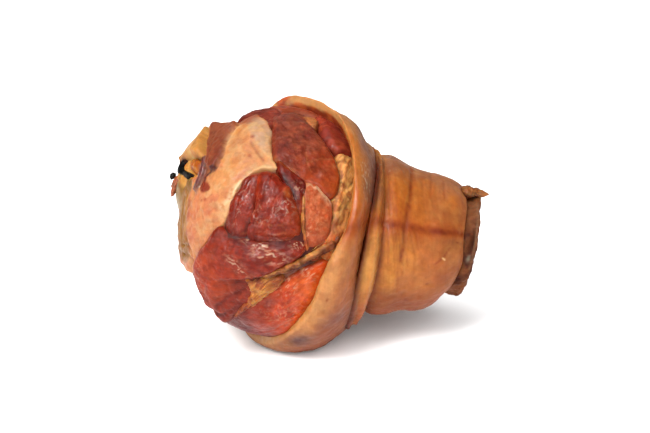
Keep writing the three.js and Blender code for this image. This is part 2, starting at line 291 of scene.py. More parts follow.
def body(name, rows, tint, gloss, grain, material):
    """A closed body from rings of points: the first and last rings close to one point each.

    tint is the colour, gloss is 0 for dry and 1 for wet, and grain gives the fibres' own
    coordinates in millimetres: along them, across them and up."""
    rings, around = rows.shape[:2]

    def packed(values):
        values = np.asarray(values, float)
        width = values.shape[2] if values.ndim == 3 else 1
        values = np.broadcast_to(values.reshape(values.shape[:2] + (width,)), (rings, around, width))
        middle = values[1:-1].reshape(-1, width)
        return np.concatenate([values[:1].mean(1), middle, values[-1:].mean(1)])

    points = packed(rows)
    last = len(points) - 1
    ring = 1 + np.arange(rings - 2)[:, None] * around
    step = np.arange(around)
    turned = (step + 1) % around
    lower, upper = ring[:-1], ring[1:]
    quads = np.stack([lower + step, lower + turned, upper + turned, upper + step], -1).reshape(-1, 4)
    first_fan = xyz(0 * step, 1 + turned, 1 + step)
    last_fan = xyz(0 * step + last, ring[-1] + step, ring[-1] + turned)
    a, b, c, d = (points[quads[:, k]] for k in range(4))
    volume = np.einsum("ij,ij->i", a, np.cross(b, c)).sum() + np.einsum("ij,ij->i", a, np.cross(c, d)).sum()
    if volume < 0:
        quads, first_fan, last_fan = quads[:, ::-1], first_fan[:, ::-1], last_fan[:, ::-1]

    corners = np.concatenate([quads.ravel(), first_fan.ravel(), last_fan.ravel()])
    sizes = np.concatenate([np.full(len(quads), 4), np.full(2 * around, 3)])
    mesh = bpy.data.meshes.new(name)
    mesh.vertices.add(len(points))
    mesh.vertices.foreach_set("co", ((points + SHIFT) * MM).ravel())
    mesh.loops.add(len(corners))
    mesh.loops.foreach_set("vertex_index", corners.astype(np.int32))
    mesh.polygons.add(len(sizes))
    mesh.polygons.foreach_set("loop_start", (np.cumsum(sizes) - sizes).astype(np.int32))
    mesh.polygons.foreach_set("use_smooth", np.ones(len(sizes), bool))
    mesh.update(calc_edges=True)
    mesh.validate()

    rgba = np.concatenate([np.clip(packed(tint), 0, 1) ** DEPTH * ALBEDO, np.ones((len(points), 1))], 1)
    mesh.attributes.new("tint", "FLOAT_COLOR", "POINT").data.foreach_set("color", rgba.ravel())
    mesh.attributes.new("gloss", "FLOAT", "POINT").data.foreach_set("value", packed(gloss).ravel())
    mesh.attributes.new("grain", "FLOAT_VECTOR", "POINT").data.foreach_set("vector", packed(grain).ravel())
    mesh.materials.append(material)
    piece = bpy.data.objects.new(name, mesh)
    bpy.context.scene.collection.objects.link(piece)
    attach(piece, "root")
    return piece


def normals(rows):
    """Unit normals of a grid of points that wraps round, on the side that faces away from the middle."""
    across = np.roll(rows, -1, axis=1) - np.roll(rows, 1, axis=1)
    along = np.gradient(rows, axis=0)
    n = np.cross(across, along)
    n = n / (np.linalg.norm(n, axis=-1, keepdims=True) + 1e-9)
    middle = rows.reshape(-1, 3).mean(0)
    outward = np.sum(n * (rows - middle), axis=-1).mean() > 0
    return n if outward else -n


# ---- materials ----------------------------------------------------------------------------------


def food(name, wet, dry, scatter, fibre, fine, pores=0.0, coat=0.0, streak=0.1, mottle=0.1, speck=0.08,
         weave=(0.09, 0.9, 0.35), shine=0.18):
    """A procedural food material.

    wet and dry are the roughness where gloss is 1 and 0, and scatter the depth of light in
    millimetres. fibre, fine and pores are the heights in millimetres of the relief along the grain,
    of the grit and of the pits. coat is the film of moisture or fat, weave the number of fibres in a
    millimetre along and across the grain, and streak, mottle and speck the strength of the tones."""
    material = bpy.data.materials.new(name)
    material.use_nodes = True
    tree = material.node_tree
    links = tree.links
    shader = tree.nodes["Principled BSDF"]

    def node(kind, **values):
        made = tree.nodes.new("ShaderNode" + kind)
        for key, value in values.items():
            if key in made.inputs:
                made.inputs[key].default_value = value
            else:
                setattr(made, key, value)
        return made

    def remap(source, low, high, to_low, to_high):
        made = node("MapRange")
        for key, value in (("From Min", low), ("From Max", high), ("To Min", to_low), ("To Max", to_high)):
            made.inputs[key].default_value = value
        links.new(source, made.inputs["Value"])
        return made.outputs["Result"]

    def times(first, second):
        made = node("Math", operation="MULTIPLY")
        links.new(first, made.inputs[0])
        links.new(second, made.inputs[1])
        return made.outputs[0]

    tint = node("Attribute", attribute_name="tint")
    gloss = node("Attribute", attribute_name="gloss")
    grain = node("Attribute", attribute_name="grain")
    place = node("TexCoord")

    stretch = node("Mapping")
    stretch.inputs["Scale"].default_value = weave
    links.new(grain.outputs["Vector"], stretch.inputs["Vector"])
    fibres = node("TexNoise", Scale=1.0, Detail=4.0, Roughness=0.65, Distortion=0.3)
    links.new(stretch.outputs["Vector"], fibres.inputs["Vector"])
    lumps = node("TexNoise", Scale=330.0, Detail=5.0, Roughness=0.62)
    grit = node("TexNoise", Scale=1300.0, Detail=3.0, Roughness=0.6)
    cells = node("TexVoronoi", Scale=700.0)
    for texture in (lumps, grit, cells):
        links.new(place.outputs["Object"], texture.inputs["Vector"])

    light = times(
        remap(fibres.outputs["Fac"], 0.3, 0.7, 1 - streak, 1 + streak),
        remap(lumps.outputs["Fac"], 0.3, 0.7, 1 - mottle, 1 + mottle),
    )
    light = times(light, remap(grit.outputs["Fac"], 0.3, 0.7, 1 - speck, 1 + speck))
    shade = node("VectorMath", operation="SCALE")
    links.new(tint.outputs["Color"], shade.inputs[0])
    links.new(light, shade.inputs["Scale"])
    links.new(shade.outputs["Vector"], shader.inputs["Base Color"])

    moist = node("Math", operation="ADD")
    links.new(gloss.outputs["Fac"], moist.inputs[0])
    links.new(remap(lumps.outputs["Fac"], 0.35, 0.65, -0.2, 0.2), moist.inputs[1])
    rough = remap(moist.outputs[0], 0.0, 1.0, dry, wet)
    links.new(rough, shader.inputs["Roughness"])

    normal = None
    for source, height in (
        (lumps.outputs["Fac"], fine * 2),
        (fibres.outputs["Fac"], fibre),
        (grit.outputs["Fac"], fine),
        (remap(cells.outputs["Distance"], 0.0, 0.35, 0.0, 1.0), pores),
    ):
        if not height:
            continue
        bump = node("Bump", Distance=height * MM, Strength=1.0)
        links.new(source, bump.inputs["Height"])
        if normal:
            links.new(normal, bump.inputs["Normal"])
        normal = bump.outputs["Normal"]
    links.new(normal, shader.inputs["Normal"])
    if coat:
        links.new(remap(moist.outputs[0], 0.5, 1.0, 0.0, coat), shader.inputs["Coat Weight"])
        links.new(normal, shader.inputs["Coat Normal"])
        shader.inputs["Coat Roughness"].default_value = wet * 0.6
    shader.inputs["Subsurface Weight"].default_value = 1.0 if scatter else 0.0
    shader.inputs["Subsurface Scale"].default_value = scatter * MM
    shader.inputs["Subsurface Radius"].default_value = (1.0, 0.42, 0.25)
    shader.inputs["IOR"].default_value = 1.4
    shader.inputs["Specular IOR Level"].default_value = shine
    return material


rind_skin = food("smoked_rind", 0.36, 0.56, 1.0, 0.05, 0.05, 0.03, coat=0.2, streak=0.05, mottle=0.09,
                 speck=0.05, weave=(0.1, 1.3, 0.35), shine=0.16)
wet_muscle = food("wet_muscle", 0.22, 0.5, 0.7, 0.12, 0.12, coat=0.55, streak=0.08, mottle=0.16, shine=0.14)
dry_muscle = food("dry_muscle", 0.3, 0.55, 0.7, 0.1, 0.1, coat=0.35, streak=0.07, mottle=0.16, shine=0.14)
soft_fat = food("soft_fat", 0.3, 0.55, 1.6, 0.05, 0.08, coat=0.4, streak=0.03, mottle=0.08)
sinew = food("sinew_and_fibres", 0.32, 0.58, 1.0, 0.16, 0.06, coat=0.2, streak=0.16, mottle=0.12)
dried_meat = food("dried_meat", 0.42, 0.75, 0.6, 0.2, 0.1, coat=0.1, streak=0.14, mottle=0.2, shine=0.1)
bone_surface = food("bone_and_cartilage", 0.26, 0.55, 1.6, 0.05, 0.05, coat=0.3, streak=0.05, mottle=0.08)
clot = food("dark_clot", 0.35, 0.6, 0.3, 0.05, 0.1, coat=0.12, mottle=0.3, shine=0.08)

# ---- rind ---------------------------------------------------------------------------------------


def rind_lines(angle):
    """The lines of the rind at every angle, from the hock end over the outside to inside the collar."""
    rim = round_shank(RIM_X, angle)
    rim_radius = round_shank(RIM_RADIUS, angle)
    crest = round_shank(COLLAR_CREST, angle)
    deep = round_shank(DEEP_FOLD_X, angle)
    deep_radius = round_shank(DEEP_FOLD_RADIUS, angle)
    spacing = round_shank(FOLD_SPACING, angle)
    roll = round_shank(ROLL_HEIGHT, angle)
    slope = round_shank(COLLAR_SLOPE, angle)
    end = round_shank(HOCK_RIND_X, angle)
    shallow = deep + spacing
    between = (deep_radius + SLEEVE[0][1]) / 2
    flat = np.ones_like(angle)
    line = [(end - 8, 6 * flat, 2), (end - 6, 22 * flat, 6), (end - 1.5, 25 * flat, 8)]
    for share, radius in SLEEVE[::-1]:
        line.append((shallow + share * (end - shallow), radius * flat, 14 if share < 0.9 else 7))
    line.append((shallow - 0.12 * spacing, SLEEVE[0][1] + 0.6 * roll, 8))
    line.append((shallow - 0.36 * spacing, between + roll, 8))
    line.append((shallow - 0.64 * spacing, between + roll, 8))
    line.append((deep + 0.1 * spacing, deep_radius + 0.6 * roll, 8))
    line.append((deep, deep_radius, 8))
    for share, rolled in COLLAR:
        drop = rolled + (1 - share - rolled) * slope
        line.append((deep - share * (deep - rim), crest - drop * (crest - deep_radius), 12))
    line.append((rim, rim_radius + 0.3 * RIND_THICKNESS, 8))
    line.append((rim - 0.3, rim_radius - 0.4 * RIND_THICKNESS, 8))
    line.append((rim + 2, rim_radius - 1.3 * RIND_THICKNESS, 6))
    line.append((rim + 1, rim_radius - 2.6 * RIND_THICKNESS, 4))
    line.append((rim - 1, 24 * flat, 2))
    line.append((rim - 1, 8 * flat, 1))
    control = np.stack([np.stack([x, r], -1) for x, r, _ in line])
    return catmull(control, [count for *_, count in line[:-1]]), [count for *_, count in line]


SKIN_MM = 0.75  # millimetres per degree round the shank on the rind's own map
HOOP_RADIUS = 46  # of the rind, for marks that run round it
TABLE_GAP = 0.3  # the least height of the rind above the table
TABLE_SOFTNESS = 1.4  # how gently the rind comes down to that height

# On the sleeve: colour, amount, x, degrees round from the near side and half sizes. The two golden ones at x
# 33 and 28, just below the string, are painted highlight on the golden rind.
SLEEVE_PATCHES = [
    ("ca8a48", 0.9, 33, 10, (9, 9)), ("cd8e46", 0.9, 28, -4, (4, 13)),
    ("c0774a", 0.7, 47, 12, (9, 9)), ("bd6c24", 0.9, 28, 38, (6, 9)),
    ("ba7234", 0.8, 41, 42, (5, 12)), ("b57040", 0.6, 58, 14, (6, 9)),
    ("a05a34", 0.7, 55, -8, (8, 9)), ("a2683f", 0.9, 60, 26, (7, 14)),
    ("a66a44", 0.8, 54, 50, (9, 12)), ("a85f2c", 0.7, 34, 36, (6, 9)),
    ("ca8c4a", 0.6, 22, 34, (3, 9)), ("ab6838", 0.6, 57, 44, (8, 9)),
    ("93502f", 0.7, 28, -40, (10, 9)), ("a25f3e", 0.6, 44, -38, (12, 8)),
]
# Fine creases that run down from the string: x, the degrees they reach and their lean in x.
CREASES = [(25.5, 2, 0), (28, -4, 1), (31, 6, 1), (33.5, 0, 2), (37, 10, 2), (29.5, -22, 1), (40, 14, 1)]
# All wrinkles: depth, points as x and degrees, and width.
WRINKLES = [
    (0.3, [(42, 92), (40.5, 72), (38.5, 54)], 0.7),
    (0.6, [(52, 92), (51, 78), (49, 58)], 0.7),
    (0.5, [(28, 70), (27, 52), (27, 36)], 0.9),
    (0.4, [(46, 78), (45, 58)], 0.7),
    (0.4, [(58, 84), (57, 60)], 0.7),
    *[(0.45, [(at, 26), (at + lean, low)], 0.5) for at, low, lean in CREASES],
    (0.4, [(-2, 50), (-4, 34), (-6, 24)], 0.8),
    (0.3, [(2, 62), (1, 44)], 0.8),
]
# Red flecks: x, degrees and size.
FLECKS = [(37, -31, 1.2), (62, 22, 0.8), (-4, -16, 0.7), (2, -34, 0.7), (-14, 6, 0.6), (44, -12, 0.6)]


def rind():
    """The whole rind: the sleeve, the roll between two folds, and the collar with its cut edge."""
    around = 400
    angle = full_turn(around)
    lines, counts = rind_lines(angle)
    x, radius = lines[..., 0], lines[..., 1]
    height = along_shank(AXIS_HEIGHT, x)
    rows = xyz(x, -radius * np.cos(angle), height + radius * np.sin(angle))
    outward = normals(rows)
    rim = round_shank(RIM_X, angle)
    deep = round_shank(DEEP_FOLD_X, angle)
    spacing = round_shank(FOLD_SPACING, angle)
    end = round_shank(HOCK_RIND_X, angle)
    degrees = np.degrees(angle) * np.ones_like(x)
    degrees = np.where(degrees > 180, degrees - 360, degrees)
    skin = np.stack([x, degrees * SKIN_MM], -1)
    drifting = skin + 3 * drift(rows, 13, (37, 38), 2)
    row = np.arange(len(rows))[:, None] * np.ones_like(x)
    starts = np.cumsum([0] + counts)
    outside = band(row, (starts[3] - 2, starts[4] + 2), (starts[-6], starts[-5]))
    inner = smooth(row, starts[-6], starts[-5])
    cut_edge = band(row, (starts[-7] - 4, starts[-6]), (starts[-4], starts[-3]))

    def mark(points, width):
        """A line on the rind, through (x, degrees) points."""
        return stroke(skin, [(at, turn * SKIN_MM) for at, turn in points], width) * outside

    def area(at, turn, size, tilt=0):
        """A spot on the rind with an uneven edge, at x and degrees."""
        return spot(drifting, (at, turn * SKIN_MM), size, tilt) * outside

    on_collar = smooth(deep - x, -1, 2)
    on_sleeve = smooth(x - deep - spacing, -1, 2)
    on_roll = np.clip(1 - on_collar - on_sleeve, 0, 1)
    hoops = xyz(x / 1.1, np.radians(degrees) * HOOP_RADIUS / 17)
    wide_hoops = xyz(x / 4.0, np.radians(degrees) * HOOP_RADIUS / 30, 9)
    patch = layered(rows, 11, 25, 3)
    small = layered(rows, 3.5, 27, 3)
    crumb = layered(rows, 1.5, 29, 2)
    far_side = smooth(np.abs(degrees), 132, 174)
    thin = layered(hoops, 1.0, 31, 3) * (1 - far_side)
    wide = layered(wide_hoops, 1.0, 35, 2) * (1 - far_side)

    string_line = [(-10, 19), (6, 20.5), (14, 24), (20, 28), (33, 28.5), (44, 29.5), (58, 30.5), (68, 29)]
    string = mark(string_line, 2.3)
    by_string = mark(string_line, 4.6)
    long_wrinkle = mark([(42, 92), (40.5, 72), (38.5, 54), (36, 38), (34.5, 28), (34, 18), (32, 4)], 1.3)
    wrinkles = sum(depth * mark(points, width) for depth, points, width in WRINKLES)
    creased = area(31, 4, (7, 16)) + 0.6 * area(30, 66, (12, 14)) + 0.3 * area(50, 60, (14, 14))
    lift = 0.5 * layered(rows, 22, 3, 2) + 0.25 * layered(rows, 8, 5, 2)
    rough = (0.04 + 0.13 * creased) * thin + (0.1 + 0.12 * on_collar) * wide
    lift += outside * (rough + 0.06 * crumb + 0.15 * small)
    lift -= 0.4 * string + 0.6 * np.clip(wrinkles, 0, 1.2) + 0.5 * long_wrinkle
    lift += 0.5 * area(33, 12, (8, 8)) + 0.4 * mark([(23, 24), (22, 0), (18, -20)], 2.0)
    on_top = band(degrees, (62, 84), (110, 130)) * outside
    lift += 1.8 * hump(x - deep, 2.2) * band(-degrees, (-5, 20), (120, 165)) * outside
    beneath = band(-degrees, (60, 84), (112, 136)) * outside
    lift += beneath * (1.4 * hump(x - deep - spacing, 2.0) - 2.2 * on_roll)
    radial = xyz(0 * x, -np.cos(angle), np.sin(angle))
    slump = on_top * (0.4 * hump(x - deep - 6, 2.0) - 2.4 * hump(x - deep + 5.2, 2.6))
    rows = rows + outward * lift[..., None] + radial * slump[..., None]
    above_gap = (rows[..., 2] - TABLE_GAP) / TABLE_SOFTNESS
    rows[..., 2] = TABLE_GAP + np.logaddexp(0, above_gap) * TABLE_SOFTNESS

    top = smooth(degrees + 8 * patch, 60, 80)
    sleeve = coats(mix("ba7844", "bb7434", smooth(degrees, 22, 36)), [
        ("a5613a", smooth(-degrees, 12, 45)),
        # patches of colour, with painted highlight below the string
        *[(code, amount * area(*where)) for code, amount, *where in SLEEVE_PATCHES],
        ("a27058", 0.9 * top),
        # painted sheen along the top of the sleeve
        ("a5807a", 0.7 * smooth(degrees, 82, 98) * band(x, (18, 24), (34, 48))),
        # lilac-grey tone with painted sheen along the top of the hock end
        ("a0664d", 0.7 * smooth(x, end - 9, end - 1) * smooth(degrees, 22, 50)),
        ("9c5a34", 0.5 * smooth(x, end - 6, end) * smooth(-degrees, -30, 0)),
    ])
    roll = coats(mix("d2965a", "c0803f", smooth(degrees, 20, 34)), [
        # painted highlight along the front of the roll
        ("cf9658", 0.6 * smooth(-np.abs(degrees - 4), -16, -4)),
        ("b8754a", smooth(-degrees, 8, 34)),
    ])
    # paler by the rim, where fat shows through the skin, with a painted highlight there
    pale_rim_and_highlight = smooth(rim - x + 2 * patch, -17, -4) * (1 - smooth(degrees, 14, 24))
    near_fold = smooth(x - deep + 2 * patch, -15, -6) * (1 - smooth(degrees, 38, 54))
    collar = coats(mix("c37a48", "c07c3e", smooth(degrees, 14, 28)), [
        ("c07c42", smooth(degrees + 10 * patch, 34, 56)),
        ("bf8c68", smooth(degrees + 6 * patch, 68, 86)),
        ("a9623f", smooth(-degrees + 8 * patch, 14, 44)),
        # pale skin with a painted highlight by the rim
        ("ca966c", 0.95 * pale_rim_and_highlight),
        (mix("b2642a", "965030", smooth(-degrees, 12, 30)), 0.6 * near_fold),
        ("b97a58", smooth(-degrees + 10 * patch, 62, 90)),
    ])
    tint = sleeve * on_sleeve[..., None] + roll * on_roll[..., None] + collar * on_collar[..., None]

    # painted shade: the rind is darker where it faces down
    underside_shade = smooth(-outward[..., 2], 0.15, 0.8) * outside
    stain = mark([(15, 88), (17, 72), (20, 62), (20, 50), (17, 42)], 5.0)
    bloom = mark([(15, 56), (15, 46), (15, 38)], 2.6) * smooth(noise(rows, 1.0, 41), 0.35, 0.6)
    bloom += 0.8 * area(22, 74, (8, 7)) * smooth(noise(rows, 1.2, 42), 0.3, 0.6)
    # painted shade in the deep fold and in the fold behind the roll
    deep_fold_shade = hump(x - deep - 0.3, 2.2) * outside
    roll_fold_shade = hump(x - deep - spacing, 1.7) * outside * (1 - 0.75 * smooth(degrees, 34, 60))
    strength = 0.6 + 0.15 * smooth(x, 20, 32) + 0.35 * smooth(x, 46, 54)
    violet = area(-19, -47, (7, 4.5), 20) * smooth(patch, -0.8, 0.1) + 0.4 * area(-3, -30, (7, 5))
    past_peak = smooth(degrees + 2 * small, 113, 117) * (1 - smooth(degrees, 150, 175))
    bump = past_peak * smooth(-np.abs(degrees - 126), -4.5, -2)
    over_edge = smooth(row + 3 * small, starts[-7] - 6, starts[-7] + 2)
    red_inside = smooth(row + 1.5 * small, starts[-6] - 1, starts[-6] + 2) * smooth(degrees, 58, 70)
    red_inside = np.maximum(red_inside, past_peak * (1 - bump) * over_edge)
    tint = coats(tint, [
        ("a4582a", 0.08 * smooth(wide, 0.1, 0.8) * outside),
        ("d6a468", 0.14 * patchy(rows, 5, 45, 0.0, -0.7) * outside),
        ("8f451f", (0.03 + 0.3 * creased) * smooth(thin, 0.1, 0.8) * outside),
        ("e2b880", 0.05 * smooth(-thin, 0.15, 0.9) * outside),
        ("96501f", 0.24 * patchy(rows, 6, 43, 0.1, 0.7, 4) * outside),
        # painted shade under the rind
        ("94481c", 0.55 * underside_shade),
        ("835545", 0.8 * np.clip(stain * (1 + 0.5 * small), 0, 1)),
        ("835344", 0.6 * area(27, 78, (9, 9))),
        ("d0bcb0", 0.6 * bloom),
        # painted shade in the folds
        ("6a2c14", np.clip(deep_fold_shade, 0, 1) * (1 - 0.5 * smooth(degrees, 66, 84))),
        ("8a4020", np.clip(0.75 * roll_fold_shade, 0, 1)),
        ("b05c22", 0.7 * by_string),
        ("843410", string * np.clip(strength * (0.75 + 0.5 * small), 0, 1)),
        ("7a2c0e", 0.6 * area(56, 30.5, (4, 1.6))),
        ("8a421c", 0.75 * long_wrinkle * (0.8 + 0.6 * small)),
        ("8a421c", 0.7 * np.clip(wrinkles, 0, 1)),
        ("8a3a20", 0.55 * mark([(58, 16), (54, 8), (50, 4)], 0.6)),
        ("e8c49a", 0.95 * mark([(54.0, 8.0), (55, 6.6)], 0.5)),
        *[("7c2e1c", 0.7 * area(at, turn, (size, size))) for at, turn, size in FLECKS],
        ("5f3c48", 0.9 * violet),
        ("c08a58", 0.6 * cut_edge),
        ("d3a074", 0.8 * cut_edge * smooth(degrees, 78, 92)),
        ("c99460", 0.8 * inner * (1 - smooth(degrees, 58, 74))),
        (mix("a5452c", "c0663c", smooth(small, -0.2, 0.5)), 0.95 * red_inside),
    ])
    back = coats(mix("b47648", "a2633e", smooth(patch, -0.4, 0.5)), [
        ("c08a58", 0.5 * patchy(rows, 8, 45, 0.0, -0.6)),
        # painted shade in the folds, on the far side
        ("7c3c20", 0.9 * np.clip(deep_fold_shade + 0.6 * roll_fold_shade, 0, 1)),
    ])
    tint = mix(tint, back, far_side)
    tint = 1.12 * tint * (1 + 0.06 * small + 0.06 * patch + 0.06 * crumb)[..., None]
    gloss = 0.45 + 0.25 * patch - 0.35 * np.clip(stain, 0, 1) + 0.15 * on_collar
    gloss += 0.3 * area(33, 12, (10, 10)) - 0.3 * top * (1 - far_side) - 0.4 * underside_shade
    grain = xyz(np.radians(degrees) * radius, x)
    return body("rind", rows, tint, gloss, grain, rind_skin)


# ---- cut face -----------------------------------------------------------------------------------

FACE_AXIS = np.array([
    -math.sin(FACE_TURN) * math.cos(FACE_RISE),
    -math.cos(FACE_TURN) * math.cos(FACE_RISE),
    math.sin(FACE_RISE),
])
FACE_RIGHT = np.array([math.cos(FACE_TURN), -math.sin(FACE_TURN), 0.0])
FACE_UP = np.cross(FACE_AXIS, FACE_RIGHT)


def on_face(pq, height):
    """Points at p, q on the face map that stand height above the ellipsoid of meat."""
    p, q = pq[..., 0], pq[..., 1]
    arc = np.hypot(p, q) / FACE_ARC_RADIUS
    turn = np.arctan2(q, p)
    direction = (
        np.cos(arc)[..., None] * FACE_AXIS
        + (np.sin(arc) * np.cos(turn))[..., None] * FACE_RIGHT
        + (np.sin(arc) * np.sin(turn))[..., None] * FACE_UP
    )
    reach = 1 / np.linalg.norm(direction / MEAT_RADII, axis=-1)
    return MEAT_CENTRE + direction * (reach + height)[..., None]


FAT_CAP = [(5, 63), (13, 56), (19, 48), (24, 42), (29, 36), (22, 34), (17, 29), (15, 20), (14, 6),
           (8, -2), (1, -13), (-6, -25), (-16, -28), (-27, -25), (-34, -10), (-38, 10), (-30, 34),
           (-30, 60), (-14, 66)]
BROWN_STRIP = [(-27, 54), (-33, 49), (-28, 44), (-19, 38), (-14, 33), (-11, 29), (-6, 26.5), (-3, 27),
               (-3, 33), (-4, 38), (-6, 41), (-8, 44), (-10, 49), (-10, 54), (-18, 57)]
JOINT_FAT = [(-32, 47), (-26, 42), (-20, 37), (-17, 33), (-21, 30), (-29, 31), (-36, 27), (-50, 26),
             (-58, 36), (-52, 46), (-40, 50)]
HOLE = [(-36, 29), (-28, 30), (-20, 31), (-17, 27), (-19, 22), (-28, 21), (-36, 22), (-38, 26)]
HOLE_RIM = [(-42, 30), (-39, 24), (-36, 19)]
CARTILAGE = [(-19, 19), (-16, 10), (-13, 2), (-11, -8), (-10, -18), (-20, -24), (-40, -16), (-54, -8),
             (-52, 18), (-38, 22)]
GREY_FAT = [(-10, 63), (2, 62), (9, 60), (18, 48), (21, 43), (14, 46), (4, 51), (-4, 56)]
MEMBRANE = [(-16, 32), (-13, 28), (-11, 24), (-11, 20), (-11.5, 17)]
VEIL_EDGE = [(-31, 46), (-27, 43), (-20, 37), (-16, 32), (-13, 28)]
HOLE_EDGE = [(-16, 31), (-21, 30.4), (-28, 29.6), (-36, 28.4), (-42, 26)]
UNDER_RIM = [(-16, 76), (-16, 92), (10, 108), (50, 108), (60, 88), (40, 84), (8, 88), (-4, 76)]
MUSCLE_GROUND = [(70, 0), (66, 60), (30, 104), (-20, 84), (10, 50), (12, 0), (-8, -30), (2, -64), (36, -76),
                 (66, -30)]
LOBE_GROUND = [(18, 28), (34, 36), (58, 26), (60, 2), (46, -10), (14, -8)]
# Valleys between the muscles, painted in dark shade.
SHADED_VALLEY = [(14, 10), (30, 12), (50, 12), (62, 6), (56, -10), (30, -12), (12, -8), (10, 2)]
SHADED_SEAM_VALLEY = [(24, 40), (46, 34), (50, 20), (44, 22), (34, 30), (24, 36)]
RED_FLECK = [(-8.6, 20.4), (-5, 21.2), (-1.8, 20), (-1.4, 17.8), (-4.6, 16.2), (-8, 17)]
FAT_SEAMS = [
    [(-18, -19), (-10, -17), (-4, -19)],
    [(-20, -14), (-12, -12), (-6, -14)],
    [(8, 47), (14, 43), (20, 40)],
]
# Furrows in the fat: line, depth and width.
FURROWS = [
    ([(-14, 24), (-12, 12), (-16, 0), (-20, -12)], 0.5, 1.4),
    ([(-4, 8), (3, 3), (9, 4)], 0.4, 1.2),
    ([(-12, -8), (-6, -16), (-8, -24)], 0.6, 1.2),
    ([(8, 58), (6, 50), (14, 44), (24, 40)], 0.4, 0.9),
    (FAT_SEAMS[2], 0.5, 0.8),
    (FAT_SEAMS[0], 0.9, 0.8),
    (FAT_SEAMS[1], 0.7, 0.8),
    ([(-2, 30), (6, 26), (12, 24)], 0.35, 0.9),
    ([(-19, 44), (-13, 36), (-9, 29)], 0.5, 0.7),
]
# Spots of blood on the fat, with their sizes, and the smaller ones along the cartilage.
BLOOD_ON_FAT = [((6, 50), 0.9), ((12, 39), 0.8), ((9, 38), 0.5), ((-2, 13), 0.9), ((-4, 12), 0.6),
                ((-16, 2), 0.6)]
BLOOD_BY_JOINT = [(-14.5, 10), (-14, 7), (-12.5, 1), (-11.5, -6), (-10.5, -12), (-12, 4), (-10, -15)]
BED_ARC = 132  # millimetres of arc from the middle of the face map to the far edge of the bed
BED_TONE = np.array([0.88, 0.92, 1.1])


